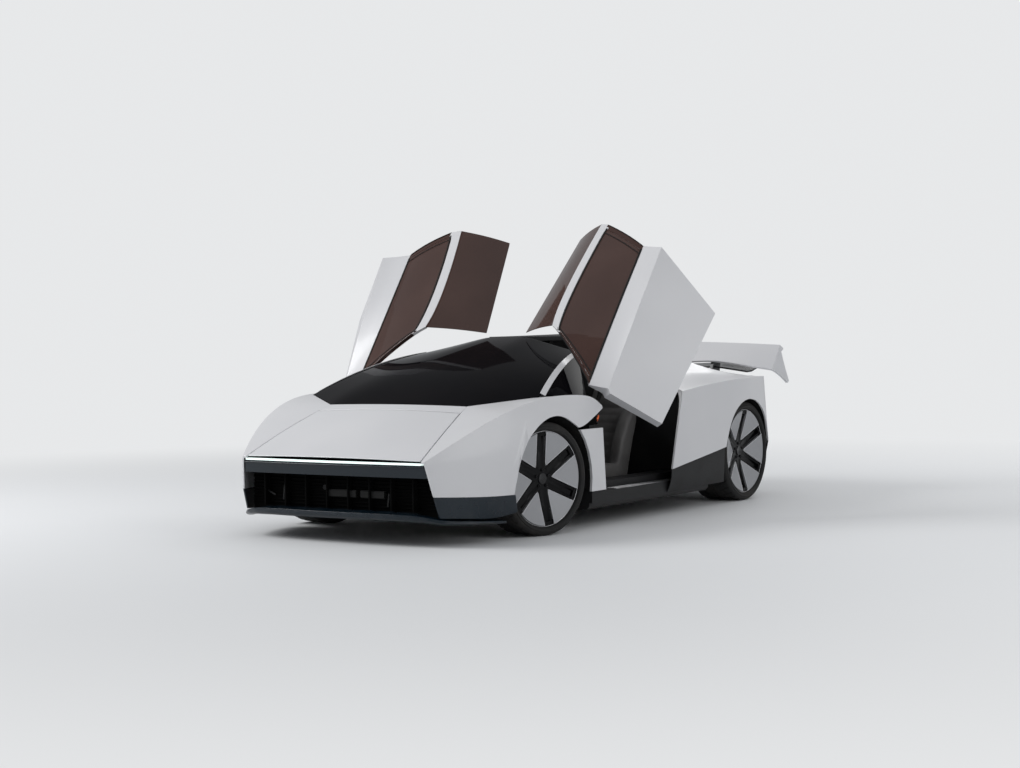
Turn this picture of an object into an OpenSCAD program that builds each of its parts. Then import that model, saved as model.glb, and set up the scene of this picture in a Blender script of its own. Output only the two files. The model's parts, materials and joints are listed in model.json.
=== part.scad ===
// Two-seat wedge supercar with upswinging dihedral doors, standing with its doors open.
// Millimetres. X points forward, Y to the car's left and Z up, from the ground under the middle of the car.

/* [Wheels] */
// Distance of the front axle ahead of the middle of the car
front_axle_x = 1292; // [1288:1:1296]
// Distance of the rear axle behind the middle of the car
rear_axle_x = 1343; // [1338:1:1348]
// Outer radius of the front tyres
front_tyre_r = 346; // [338:1:350]
// Outer radius of the rear tyres
rear_tyre_r = 356; // [348:1:360]
// Tread width of the front tyres
front_tyre_w = 245; // [230:1:250]
// Tread width of the rear tyres
rear_tyre_w = 305; // [290:1:310]
// Radius of the rim flange on the front wheels
front_rim_r = 290; // [282:1:295]
// Radius of the rim flange on the rear wheels
rear_rim_r = 298; // [290:1:302]
// Distance from the car's middle plane to the middle of a front tyre
front_track_half = 826; // [820:1:830]
// Distance from the car's middle plane to the middle of a rear tyre
rear_track_half = 812; // [808:1:816]
// Width of each of the six spokes
spoke_w = 80; // [70:1:88]
// Depth of the front wheels' spokes below the rim's edge
front_dish = 22; // [14:1:26]
// Depth of the rear wheels' spokes below the rim's edge
rear_dish = 46; // [30:1:50]
// Turn of the front wheels' spokes as parked
front_spoke_turn = 36; // [0:1:60]
// Turn of the rear wheels' spokes as parked
rear_spoke_turn = 30; // [0:1:60]
// Radius of the stub axle in each wheel
spindle_r = 30; // [26:1:34]
// Radius of the brake discs
disc_r = 190; // [170:1:200]
// Angle at which the parked front wheels are turned to the car's right
parked_steer = 13; // [0:1:15]

/* [Body] */
// Distance of the light bar's ends ahead of the middle of the car
nose_x = 2235; // [2230:1:2240]
// Half the overall length, from the middle of the car to the splitter's lip
half_length = 2262; // [2258:1:2270]
// Half width of the body over the front wheels
front_half_w = 988; // [984:1:996]
// Half width of the body over the rear wheels
rear_half_w = 1002; // [1000:1:1010]
// Height of the roof along the car's middle
roof_z = 1206; // [1202:1:1210]
// Height of the light bar
bar_z = 484; // [481:1:486]
// Radius of the front wheel arches
front_arch_r = 412; // [408:1:414]
// Radius of the rear wheel arches
rear_arch_r = 392; // [390:1:396]
// Thickness of the outer body panels
panel_t = 14; // [12:1:15]
// Thickness of the glass
glass_t = 8; // [6:1:9]
// Gap round the hood and at the front and rear of the doors
shut_gap = 8; // [7:0.5:9]
// Height of the flat floor above the ground
floor_z = 118; // [114:1:122]

/* [Doors] */
// Angle through which the doors swing up from closed
door_open = 62; // [55:1:62]
// Thickness of the lower part of a door
door_t = 78; // [72:1:82]
// Radius of the door hinge pins
hinge_r = 9; // [7:0.5:10]

/* [Rear wing] */
// Height of the wing's upper edge
wing_z = 1144; // [1140:1:1150]
// Half the wing's span
wing_half_span = 905; // [895:1:910]

/* [Hidden] */
$fn = 96;
seat_gap = 0.3;
running_gap = 0.05;

// A point part of the way from a to b
function mix(a, b, t) = a + (b - a) * t;
// A point on a quadratic curve
function bend(a, b, c, t) = mix(mix(a, b, t), mix(b, c, t), t);
// A point on a cubic curve
function bend3(a, b, c, d, t) = mix(bend(a, b, c, t), bend(b, c, d, t), t);
// A point at radius r and angle a
function polar(r, a) = [r * cos(a), r * sin(a)];
// A grid of points moved by v
function shift(grid, v) = [for (row = grid) [for (p = row) p + v]];
// The total of a list of numbers
function total(v, i = 0) = i < len(v) ? v[i] + total(v, i + 1) : 0;
// The same list in the opposite order
function backwards(v) = [for (i = [len(v) - 1:-1:0]) v[i]];
// A point's mirror image across the middle of the car
function flip_y(p) = [p.x, -p.y, p.z];

// A closed solid between two grids of points that have the same number of rows and columns
module sheet(outer, inner) {
    rows = len(outer);
    cols = len(outer[0]);
    n = rows * cols;
    points = concat([for (row = outer) for (p = row) p], [for (row = inner) for (p = row) p]);
    skin = [for (i = [0:rows - 2]) for (j = [0:cols - 2])
        let (a = i * cols + j, b = a + 1, c = a + cols, d = c + 1) each [[a, b, d], [a, d, c]]];
    lining = [for (f = skin) [f[0] + n, f[2] + n, f[1] + n]];
    rim = concat([for (j = [0:cols - 1]) j], [for (i = [1:rows - 1]) i * cols + cols - 1],
        [for (j = [cols - 2:-1:0]) (rows - 1) * cols + j], [for (i = [rows - 2:-1:1]) i * cols]);
    edge = [for (k = [0:len(rim) - 1]) let (a = rim[k], b = rim[(k + 1) % len(rim)])
        each [[b, a, a + n], [b, a + n, b + n]]];
    faces = concat(skin, lining, edge);
    volume = total([for (f = faces) points[f[0]] * cross(points[f[1]], points[f[2]])]);
    polyhedron(points, volume < 0 ? faces : [for (f = faces) backwards(f)], convexity = 6);
}

// The children and their mirror image on the car's right side
module both_sides() {
    children();
    mirror([0, 1, 0]) children();
}

// The children on the left side for 1 and on the right side for -1
module on_side(side) {
    if (side > 0) children();
    else mirror([0, 1, 0]) children();
}

// Outline of the front end, on the car's left side
nose_half_w = 674;
seam = 14;
brow_z = bar_z + 16;
over_wheel = [1250, front_half_w - 40, 845];
function crease_front(t) = bend3([nose_x, nose_half_w + seam, brow_z], [1960, 830, 662], [1640, 930, 830],
    over_wheel, t);
hood_corner = [1572, 528, 791];
screen_corner = [1313, 882, 841];
function hood_side(t) = bend([nose_x, nose_half_w - seam, brow_z], [1900, 607, 672], hood_corner, t);
function screen_base(t) = mix(hood_corner, screen_corner, t);
front_arch = [front_axle_x - 10, 322];
function arch_point(angle, y) = [front_arch.x + front_arch_r * cos(angle), y,
    front_arch.y + front_arch_r * sin(angle)];
fender_tail_x = 736;

crease = concat([for (t = [0:0.125:1]) crease_front(t)],
    [[1100, front_half_w - 26, 848], [960, front_half_w - 13, 843], [840, front_half_w - 4, 827],
    [fender_tail_x, front_half_w - 3, 768]]);
fender_inner = concat([for (t = [0:0.25:1]) hood_side(t)], [for (t = [0.25:0.25:1]) screen_base(t)],
    [[1130, 886, 838], [990, 888, 833], [850, 890, 820], [fender_tail_x + 2, 892, 764]]);
arch_angles = [-6, 18, 42, 64, 84, 104, 129];
arch_tuck = [34, 20, 8, 2, 0, 0, 0];
fender_bottom = concat(
    [[2194, 726, 294], [2080, 792, 288], [1960, 858, 282], [1840, 915, 279]],
    [for (k = [0:6]) arch_point(arch_angles[k], front_half_w - arch_tuck[k])],
    [[945, front_half_w, 650], [fender_tail_x, front_half_w, 750]]);
belt_front = [[2233, 694, 478], [2100, 778, 500], [1985, 836, 522], [1860, 888, 548], [1735, 930, 574],
    [1610, 958, 615]];
fender_belt = [for (i = [0:12]) i < 6 ? belt_front[i] : mix(fender_bottom[i], crease[i], 0.5)];

// One fender: side, crease and top as one pressed panel, with the foot that stands on the bulkhead
module fender() {
    outer = [fender_bottom,
        [for (i = [0:12]) mix(fender_bottom[i], fender_belt[i], 0.5)],
        fender_belt,
        [for (i = [0:12]) mix(fender_belt[i], crease[i], 0.5)],
        crease,
        [for (i = [0:12]) mix(crease[i], fender_inner[i], 0.5)],
        fender_inner];
    depth = [[0, -1, 0], [0, -1, 0], [0, -1, 0], [0, -1, 0], [0, -1, -1], [0, 0, -1], [0, 0, -1]];
    inner = [for (r = [0:6]) [for (p = outer[r]) p + depth[r] * panel_t]];
    color("white") {
        sheet(outer, inner);
        translate([812, 905, bulkhead_z]) cube([24, 40, 62]);
    }
}

// Crowned surface of the hood at t along it and s across it
function hood_point(t, s, inset = 0) = let (e = hood_side(t), w = e.y - inset)
    [e.x + 20 * (1 - s * s), w * s, e.z + (8 + 56 * t * (1 - t)) * (1 - s * s)];
hood_seam = 0.86;
hood_rear = 0.84;
hood_t = 24;
hood_steps = 8;
hood_across = 8;
module hood_strip(t0, t1, inset, front_t, rear_t) {
    outer = [for (i = [0:hood_steps]) [for (j = [0:hood_across])
        hood_point(mix(t0, t1, i / hood_steps), 2 * j / hood_across - 1, inset)]];
    inner = [for (i = [0:hood_steps]) [for (p = outer[i]) p - [0, 0, i == 0 ? front_t : rear_t]]];
    sheet(outer, inner);
}
// Gooseneck arms carry the hood round the front edge of the cowl panel
hood_pivot = [hood_side(hood_rear).x - 86, 0, hood_side(hood_rear).z - 19];
neck_y = 300;
neck_t = 14;
hood_pin_r = 8;
module gooseneck() {
    translate([hood_pivot.x, neck_y + neck_t / 2, hood_pivot.z]) rotate([90, 0, 0]) difference() {
        linear_extrude(neck_t) polygon([[-9, -9], [58, -74], [126, -66], [132, 3], [100, 3], [96, -36],
            [68, -42], [9, 9]]);
        translate([0, 0, -1]) cylinder(h = neck_t + 2, r = hood_pin_r + running_gap);
    }
    translate([hood_pivot.x, neck_y + neck_t / 2, hood_pivot.z]) rotate([90, 0, 0]) difference() {
        cylinder(h = neck_t, r = 16);
        translate([0, 0, -1]) cylinder(h = neck_t + 2, r = hood_pin_r + running_gap);
    }
}
module hood() {
    color("white") {
        hood_strip(0.012, hood_rear, shut_gap, 6, hood_t);
        both_sides() gooseneck();
    }
}
module cowl_panel() {
    color("white") hood_strip(hood_seam, 0.998, seat_gap + 0.5, panel_t, panel_t);
}

// Windscreen between the hood, the roof pillars and the two headers, with the fixed quarter windows
header_corner = [402, 602, 1100];
roof_front_x = 326;
spine_half_w = 158;
spine_corner = [roof_front_x, spine_half_w, roof_z - 3];
screen_bulge = 42;
function header(t) = mix(header_corner, spine_corner, t);
function screen_foot(k) = k < 3 ? screen_base(1 - k / 3)
    : let (u = (k - 3) / 3) hood_corner + [18 * u * (2 - u), -hood_corner.y * u, 8 * u * (2 - u)];
function screen_head(k) = k < 4 ? header(k / 4) : [roof_front_x, spine_half_w * (6 - k) / 2, roof_z - 7 + k];
function screen_point(k, t) = mix(screen_foot(k), screen_head(k), t) + [0, 0,
    4 * screen_bulge * t * (1 - t)];
screen_steps = 8;
// Side edge of the windscreen, counted in its own rows
function pillar_edge(u) = mix(screen_point(0, floor(u) / screen_steps),
    screen_point(0, ceil(u) / screen_steps), u - floor(u));
function pillar_outer(u) = pillar_edge(u) + mix([-34, 4, -8], [8, 10, -10], u / screen_steps);
module windscreen() {
    outer = [for (i = [0:screen_steps]) let (t = i / screen_steps)
        concat([for (k = [0:6]) screen_point(k, t)], [for (k = [5:-1:0]) flip_y(screen_point(k, t))])];
    color([0.05, 0.05, 0.06]) {
        translate([-seat_gap, 0, seat_gap]) sheet(outer, shift(outer, [0, 0, -glass_t]));
        both_sides() quarter_window();
    }
}
quarter_foot = [[1236, 882.5, 848.5], [1120, 886, 845], [1000, 888, 839], [880, 888, 830], [752, 890, 777]];
module quarter_window() {
    upper = [for (i = [0:4]) pillar_outer([0.5, 2.2, 3.9, 5.7, 7.6][i]) + [-0.5, 6.6, -0.5]];
    outer = [for (s = [0, 0.5, 1]) [for (i = [0:4])
        mix(quarter_foot[i], upper[i], s) + [0, 40 * s * (1 - s) * (1 - i / 8), 0]]];
    sheet(outer, shift(outer, [0, -6, -3]));
}

// Roof: the two windscreen pillars and the middle spine
roof_rear_x = -500;
module pillar() {
    steps = concat([0.32], [for (k = [1:screen_steps]) k]);
    outer = [[for (u = steps) pillar_edge(u) + [0, 0.6, 0]], [for (u = steps) pillar_outer(u)]];
    sheet(outer, [for (row = outer) [for (i = [0:screen_steps]) row[i] - [0, 0, mix(24, 12,
        i / screen_steps)]]]);
}
module roof_frame() {
    color("black") {
        both_sides() pillar();
        spine = [for (x = [roof_front_x - 3 * seat_gap, 60, -220, roof_rear_x]) [for (s = [-1:0.5:1])
            [x, (spine_half_w - 14) * s, roof_z + 14 * (1 - s * s) * (roof_front_x - x) / 800]]];
        sheet(spine, shift(spine, [0, 0, -34]));
    }
}

// The two doors. Points are given with the door closed, on the car's left side.
door_front_bottom = [695, 955, 245];
door_front_knee = [728, 962, 634];
door_front_top = [706, 968, 655];
door_front_shoulder = [722, 888, 760];
door_rear_bottom = [-150, 1000, 305];
door_rear_top = [-345, 975, 822];
door_rear_shoulder = [-378, 795, 903];
rail_front_outer = [402, 622, 1078];
rail_rear_outer = [-496, 558, 1152];
rail_front_inner = [360, 564, 1120];
rail_rear_inner = [-500, 506, 1185];
hinge_line = [0.5394, 0.7243, -0.4296];
hinge_dir = hinge_line / norm(hinge_line);
hinge_top = [353, 150, 1201];
hinge_at = 868;
hook_t = 12;

// Puts children into the hinge's own frame: Z along the pin, outwards and down
module hinge_frame() {
    translate(hinge_top) rotate([0, acos(hinge_dir.z), atan2(hinge_dir.y, hinge_dir.x)]) children();
}
// Moves a closed door to where it stands open
module door_pose(side) {
    on_side(side) translate(hinge_top) rotate(a = door_open, v = hinge_dir) translate(-hinge_top) children();
}

door_steps = 6;
function door_bottom(t) = mix(door_front_bottom, door_rear_bottom, t);
function door_crease(t) = bend(door_front_top, mix(door_front_top, door_rear_top, 0.5) + [0, 16, 6],
    door_rear_top, t);
function door_shoulder(t) = bend(door_front_shoulder,
    mix(door_front_shoulder, door_rear_shoulder, 0.5) + [0, 0, 8], door_rear_shoulder, t);
// Position on the door's flank, t from front to rear and s from the crease to the bottom
knee_s = 0.06;
function knee(s) = (door_front_knee.x - door_front_top.x) * (s < knee_s ? s / knee_s : (1 - s) / (1 - knee_s));
function door_flank(t, s) = mix(door_crease(t), door_bottom(t), s)
    + pow(1 - t, 2) * [knee(s), 6 * s * (1 - s), 0] + [0, 40 * s * (1 - s) * t * (1 - t), 0];
module door_skin() {
    rows = [1, 0.7, 0.38, knee_s, 0];
    flank = [for (s = rows) [for (i = [0:door_steps]) door_flank(i / door_steps, s)]];
    hollow = [for (i = [0:door_steps]) let (t = i / door_steps)
        mix(door_crease(t), door_shoulder(t), 0.5) + [0, 6, -10]];
    top = [for (i = [0:door_steps]) door_shoulder(i / door_steps)];
    lining_y = [for (p = top) p.y - 22];
    inner = concat(
        [for (r = [0:len(rows) - 1]) [for (i = [0:door_steps]) let (p = flank[r][i])
            [p.x, mix(lining_y[i], p.y - door_t, rows[r]), p.z]]],
        [[for (i = [0:door_steps]) [hollow[i].x, lining_y[i], hollow[i].z - 4]]],
        [[for (i = [0:door_steps]) [top[i].x, lining_y[i], top[i].z]]]);
    sheet(concat(flank, [hollow], [top]), inner);
}

function rail_outer(t) = bend3(rail_front_outer, [250, 570, 1122], [-150, 548, 1142], rail_rear_outer, t);
function rail_inner(t) = bend3(rail_front_inner, [215, 512, 1158], [-150, 500, 1178], rail_rear_inner, t);
window_steps = 6;
function window_point(t, s) = mix(door_shoulder(t), rail_outer(t), s) + [0, 72 * s * (1 - s), 0];
glass_dir = [0, -0.77, -0.64];
window_from = 0.035;
window_to = 0.965;
window_edge = 0.0009;
frame_t = 18;
module door_window() {
    outer = [for (s = [0.024, 0.34, 0.67, 0.996]) [for (i = [0:window_steps])
        window_point(mix(window_from, window_to, i / window_steps), s)]];
    color("saddlebrown") sheet(outer, shift(outer, glass_dir * glass_t));
}
module door_frame() {
    rail = [[for (i = [0:8]) rail_outer(i / 8)], [for (i = [0:8]) rail_inner(i / 8)]];
    sheet(rail, shift(rail, glass_dir * frame_t));
    for (e = [[0, window_from - window_edge], [window_to + window_edge, 1]]) {
        post = [for (t = e) [for (s = [0, 0.34, 0.67, 1]) window_point(t, s)]];
        sheet(post, shift(post, glass_dir * frame_t));
    }
}
// Steel hook that carries the door round the rear edge of the quarter window
hook_from = 10;
hook_to = 62;
hook_r = 203;
hook_w = 26;
module door_hook() {
    steps = [0:4];
    hinge_frame() translate([0, 0, hinge_at - hook_t / 2]) linear_extrude(hook_t) difference() {
        union() {
            circle(r = 24);
            rotate(hook_from) translate([0, -hook_w / 2]) square([hook_r + 14, hook_w]);
            polygon(concat(
                [for (k = steps) polar(hook_r + 5 * k, mix(hook_from - 3, hook_to, k / 4))],
                [for (k = steps) polar(hook_r + hook_w + 5 * (4 - k), mix(hook_to, hook_from - 3, k / 4))]));
        }
        circle(r = hinge_r + running_gap);
    }
}
module door_shell() {
    color("white") {
        door_skin();
        door_frame();
        door_hook();
    }
}
function roof_edge(t) = [mix(roof_front_x - shut_gap - 2, roof_rear_x, t), spine_half_w,
    roof_z - 3 + 16 * t];
module door_roof() {
    outer = [for (s = [0.001, 0.33, 0.67, 1]) [for (i = [0:8]) let (t = i / 8)
        mix(rail_inner(t), roof_edge(t), s) + [0, 0, 44 * s * (1 - s)]]];
    color("saddlebrown") sheet(outer, shift(outer, glass_dir * glass_t));
}
// Fixed cheeks and pins of the door hinges, standing on the bulkhead
cheek_t = 10;
cheek_gap = 6;
pin_head = 5;
module door_hinge() {
    low = hinge_at - hook_t / 2 - cheek_gap - cheek_t;
    difference() {
        hinge_frame() {
            for (z = [low, hinge_at + hook_t / 2 + cheek_gap]) translate([0, 0, z]) linear_extrude(cheek_t) {
                circle(r = 22);
                rotate(-20) translate([0, -18]) square([150, 36]);
            }
            translate([0, 0, low - pin_head])
                cylinder(h = hook_t + 2 * (cheek_gap + cheek_t + pin_head), r = hinge_r);
        }
        translate([700, 500, bulkhead_z - 100 + seat_gap]) cube([300, 400, 100]);
    }
}
module door_hinges() {
    color("gray") both_sides() door_hinge();
}

// Flat panel behind each front wheel, under the air outlet
blade_t = 16;
blade_z = 628;
module side_blade() {
    arc = [for (k = [0:5]) front_arch + polar(front_arch_r, mix(192, 132, k / 5))];
    points = concat(arc, [[door_front_knee.x + shut_gap, blade_z],
        [door_front_bottom.x + shut_gap, arc[0].y]]);
    translate([0, front_half_w, 0]) rotate([90, 0, 0]) linear_extrude(blade_t) polygon(points);
}
module side_blades() {
    color("white") both_sides() side_blade();
}

// Dark skirts under the fenders
module skirts() {
    color([0.1, 0.12, 0.15]) both_sides() {
        upper = [for (i = [0:4]) fender_bottom[i] - [0, 0, seat_gap]];
        lower = [[2150, 735, 168], [2040, 790, 160], [1930, 845, 152], [1815, 896, 146],
            arch_point(-21, 950)];
        outer = [upper, lower];
        sheet(outer, shift(outer, [0, -panel_t, 0]));
    }
}

// Rear quarter panels
rear_arch = [-rear_axle_x + 5, 354];
function rear_arch_point(angle, y) = [rear_arch.x + rear_arch_r * cos(angle), y,
    rear_arch.y + rear_arch_r * sin(angle)];
tail_x = -2080;
quarter_gap = [-shut_gap, 0, 0];
rear_angles = [8, 35, 60, 85, 112, 140, 172];
rear_tuck = [0, 0, 0, 2, 8, 22, 46];
quarter_bottom = concat(
    [door_rear_bottom + quarter_gap, [-420, rear_half_w, 340], [-690, rear_half_w, 374]],
    [for (k = [0:6]) rear_arch_point(rear_angles[k], rear_half_w - rear_tuck[k])],
    [[-1860, 872, 430], [-1975, 775, 445], [tail_x, 660, 462]]);
quarter_crease = [door_rear_top + quarter_gap, [-520, 984, 842], [-700, 988, 858], [-860, 991, 869],
    [-1010, 993, 877], [-1170, 993, 883], [-1330, 990, 888], [-1480, 982, 889], [-1620, 958, 888],
    [-1740, 920, 886], [-1860, 850, 883], [-1975, 755, 880], [tail_x, 640, 876]];
quarter_shoulder = [door_rear_shoulder + quarter_gap, [-560, 770, 925], [-760, 760, 925], [-930, 765, 920],
    [-1090, 775, 912], [-1240, 788, 906], [-1380, 800, 900], [-1500, 812, 896], [-1620, 815, 893],
    [-1740, 800, 890], [-1860, 760, 887], [-1975, 700, 884], [tail_x + 2, 610, 880]];
quarter_top = [rail_rear_outer + [-12, -10, 0], [-640, 575, 1115], [-800, 610, 1072], [-960, 645, 1028],
    [-1110, 672, 990], [-1250, 692, 960], [-1390, 708, 937], [-1510, 718, 921], [-1630, 718, 908],
    [-1745, 706, 900], [-1862, 676, 894], [-1976, 632, 889], [tail_x + 4, 570, 884]];
module quarter_panel() {
    n = len(quarter_bottom) - 1;
    outer = [quarter_bottom,
        [for (i = [0:n]) mix(quarter_bottom[i], quarter_crease[i], 0.33)],
        [for (i = [0:n]) mix(quarter_bottom[i], quarter_crease[i], 0.67)],
        quarter_crease,
        [for (i = [0:n]) mix(quarter_crease[i], quarter_shoulder[i], 0.5) + [0, 0, -5]],
        quarter_shoulder,
        [for (i = [0:n]) mix(quarter_shoulder[i], quarter_top[i], 0.5) + [0, 4, -6]],
        quarter_top];
    depth = [[0, -1, 0], [0, -1, 0], [0, -1, 0], [0, -1, -1], [0, 0, -1], [0, -0.5, -1], [0, -0.5, -1],
        [0, -0.5, -1]];
    inner = [for (r = [0:len(outer) - 1]) [for (p = outer[r]) p + depth[r] * panel_t]];
    color("white") sheet(outer, inner);
}

// Engine cover: the dark sloping deck between the quarter panels
deck_crown = 46;
function deck_point(i, s) = let (p = quarter_top[i], n = len(quarter_top) - 1)
    [p.x, (p.y - 0.6) * s, p.z + deck_crown * (1 - s * s) * (1 - 0.75 * i / n)];
module engine_cover() {
    outer = [for (i = [0:len(quarter_top) - 1]) [for (s = [-1:0.25:1]) deck_point(i, s)]];
    inner = [for (row = outer) [for (p = row) p - [0, sign(p.y) * panel_t / 2, panel_t]]];
    color("black") {
        sheet(outer, inner);
        for (k = [0:slat_count - 1]) slat(slat_first + k * slat_pitch);
    }
}
// Louvre slats over the engine, stepping down the slope
slat_count = 6;
slat_first = 2.2;
slat_pitch = 0.8;
slat_half = 0.7;
slat_h = 22;
function deck_at(u, s) = mix(deck_point(floor(u), s), deck_point(floor(u) + 1, s), u - floor(u));
module slat(u) {
    across = [for (k = [-4:4]) k * slat_half / 4];
    top = [[for (s = across) deck_at(u, s) + [0, 0, 3]], [for (s = across) deck_at(u + 0.5, s) + [0, 0,
        slat_h]]];
    sheet(top, [for (row = top) [for (p = row) p - [0, 0, slat_h + 4]]]);
}

// Rear wing: a tall ramp with a triangular plate at each end
wing_kink_y = 470;
wing_root = [-1790, 0, 986];
wing_kink = [-1806, wing_kink_y, 1004];
wing_corner = [-1905, wing_half_span, 933];
function wing_front(y) = y < wing_kink_y ? mix(wing_root, wing_kink, y / wing_kink_y)
    : mix(wing_kink, wing_corner, (y - wing_kink_y) / (wing_half_span - wing_kink_y));
function wing_top(y) = let (u = pow(y / wing_half_span, 1.6))
    [mix(-1990, -2042, u), y, mix(wing_z + 2, wing_z - 30, u)];
wing_tip = [-half_length, wing_half_span - 30, 817];
wing_stations = [0, 160, 320, wing_kink_y, 620, 760, wing_half_span];
wing_span = concat([for (i = [len(wing_stations) - 1:-1:1]) -wing_stations[i]], wing_stations);
module wing() {
    front = [for (y = wing_span) let (p = wing_front(abs(y))) [p.x, y, p.z]];
    top = [for (y = wing_span) let (p = wing_top(abs(y))) [p.x, y, p.z]];
    middle = [for (i = [0:len(wing_span) - 1]) mix(front[i], top[i], 0.5) + [0, 0, -10]];
    rear = [for (p = top) p + [-60, 0, -26]];
    inner = [[for (p = front) p + [-6, 0, -12]], [for (p = middle) p + [-8, 0, -30]],
        [for (p = top) p + [-4, 0, -60]], [for (p = rear) p + [2, 0, -10]]];
    color("white") {
        sheet([front, middle, top, rear], inner);
        both_sides() wing_end();
    }
}
wing_end_t = 22;
module wing_end() {
    y = wing_half_span;
    a = wing_front(y);
    b = wing_top(y);
    outer = [[[a.x, y, a.z], [mix(a.x, b.x, 0.5), y, mix(a.z, b.z, 0.5) - 10], [b.x, y, b.z]],
        [[mix(a.x, wing_tip.x, 0.5), y - 8, mix(a.z, wing_tip.z, 0.5) + 8],
            [mix(a.x, wing_tip.x, 0.5) - 40, y - 8, mix(a.z, wing_tip.z, 0.5) + 60],
            [mix(b.x, wing_tip.x, 0.5) + 16, y - 8, mix(b.z, wing_tip.z, 0.5) - 8]],
        [[wing_tip.x + 14, wing_tip.y, wing_tip.z + 4], [wing_tip.x + 6, wing_tip.y, wing_tip.z + 12],
            wing_tip + [0, 0, 22]]];
    sheet(outer, shift(outer, [0, -wing_end_t, 0]));
}
module wing_struts() {
    color("black") both_sides() {
        head = [[[-1840, 430, 1000.5], [-1840, 452, 1000.5]], [[-1960, 430, 1042.5], [-1960, 452, 1042.5]]];
        foot = [[[-1800, 430, 909.3], [-1800, 452, 908.6]], [[-1930, 430, 900.6], [-1930, 452, 900.2]]];
        sheet(head, foot);
    }
    color("black") flap();
}
// Dark lower flap carried by the struts under the wing
flap_half_span = 700;
flap_drop = 46;
flap_t = 12;
module flap() {
    stations = [for (k = [-6:6]) k * flap_half_span / 6];
    front = [for (y = stations) let (p = wing_front(abs(y))) [p.x - 40, y, p.z - flap_drop]];
    middle = [for (p = front) p + [-80, 0, 4]];
    rear = [for (p = front) [-2075, p.y, p.z + 28]];
    rows = [front, middle, rear];
    sheet(rows, shift(rows, [0, 0, -flap_t]));
}

// Rear end under the wing
function tail_half_w(z) = z < 462 ? 620 : 645.3 - (z - 462) * 20 / 414;
module rear_fascia() {
    color("black") {
        face = [for (z = [262, 400, 462, 640, 780, 856]) [for (s = [-1:0.25:1])
            [tail_x - 30 * (1 - s * s) + (z < 300 ? 30 : 0), tail_half_w(z) * s, z]]];
        sheet(face, shift(face, [60, 0, 0]));
        both_sides() corner();
    }
}
// Lower corner between the rear wheel and the diffuser, under the quarter panel
module corner() {
    upper = [for (i = [9:12]) quarter_bottom[i] - [0, 0, seat_gap]];
    lower = [[-1742, 925, 300], [-1860, 848, 262], [-1975, 752, 250], [tail_x, 640, 250]];
    outer = [upper, [for (i = [0:3]) mix(upper[i], lower[i], 0.5)], lower];
    sheet(outer, shift(outer, [0, -panel_t, 0]));
}
module tail_lamp() {
    color("red") {
        strip = [for (z = [700, 722]) [for (s = [-1:0.25:1])
            [tail_x - 30 * (1 - pow(600 * s / 632, 2)) - seat_gap, 600 * s, z]]];
        sheet(strip, shift(strip, [-14, 0, 0]));
    }
}
diffuser_line = [[-1450, 130], [-1700, 142], [-1880, 160], [-2040, 205], [-2140, 244]];
module diffuser() {
    color("black") {
        plate = [for (p = diffuser_line) [for (y = [-600, 0, 600]) [p.x, y, p.y]]];
        sheet(plate, shift(plate, [0, 0, 17.7]));
        for (y = [-500:200:500]) translate([0, y + 5, 0]) rotate([90, 0, 0]) linear_extrude(10)
            polygon([[-1600, 139], [-1880, 162], [-2136, 246], [-2120, 150], [-1900, floor_z],
                [-1660, floor_z]]);
    }
}

// Front end
bow = 18;
function nose_row(x, half_w, z) = [for (s = [-1:0.25:1]) [x + bow * (1 - s * s), half_w * s, z]];
module front_fascia() {
    band = [nose_row(nose_x - 10, 679.5, bar_z - 6.3), nose_row(nose_x - 16, 686, 439),
        nose_row(nose_x - 23, 692.5, 400)];
    color([0.1, 0.12, 0.15]) sheet(band, shift(band, [-90, 0, 0]));
}
module light_bar() {
    strip = [nose_row(nose_x + 4, nose_half_w - 15, bar_z + 4.5), nose_row(nose_x + 4,
        nose_half_w - 15, bar_z - 6)];
    color("white") sheet(strip, shift(strip, [-34, 0, 0]));
}
grille_rear = 2040;
module grille() {
    mesh = [nose_row(2120, 702, 200.3), nose_row(2120, 697, 300), nose_row(2120, 692, 399.7)];
    rear = [for (row = mesh) [for (p = row) [grille_rear + seat_gap, p.y, p.z]]];
    color("black") {
        sheet(mesh, rear);
        for (y = [-560:160:560]) translate([2110, y - 5, 200.3]) cube([70, 10, 199.4]);
        both_sides() outlet();
    }
}
// Louvres of the air outlet behind each front wheel, standing on the bulkhead's end
outlet_louvres = 4;
louvre_pitch = 22;
module outlet() {
    translate([bulkhead_x - 26, bulkhead_half_w + seat_gap, blade_z + 20]) {
        cube([176, 3, louvre_pitch * outlet_louvres]);
        for (k = [0:outlet_louvres - 1]) translate([0, 0, k * louvre_pitch]) rotate([90, 0, 90])
            linear_extrude(176) polygon([[2, 0], [13, 8], [13, 11], [2, 5]]);
    }
}
splitter_t = 14;
lip = [[half_length, 0, 190], [half_length - 5, 250, 190], [half_length - 20, 480, 190], [2218, 610, 186],
    [2190, 690, 172], [2150, 745, 156], [2070, 795, 148], [1960, 845, 141], [1840, 885, 134],
        [1735, 915, 128]];
lip_rear = [[2060, 0, 200], [2060, 250, 200], [2060, 430, 200], [2050, 530, 196], [2030, 600, 182],
    [1995, 650, 168], [1950, 690, 160], [1880, 735, 154], [1800, 775, 148], [1720, 805, 142]];
function across(half) = concat([for (i = [len(half) - 1:-1:1]) flip_y(half[i])], half);
module splitter() {
    blade = [across(lip), across(lip_rear)];
    color([0.1, 0.12, 0.15]) sheet(blade, shift(blade, [0, 0, -splitter_t]));
}

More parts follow.
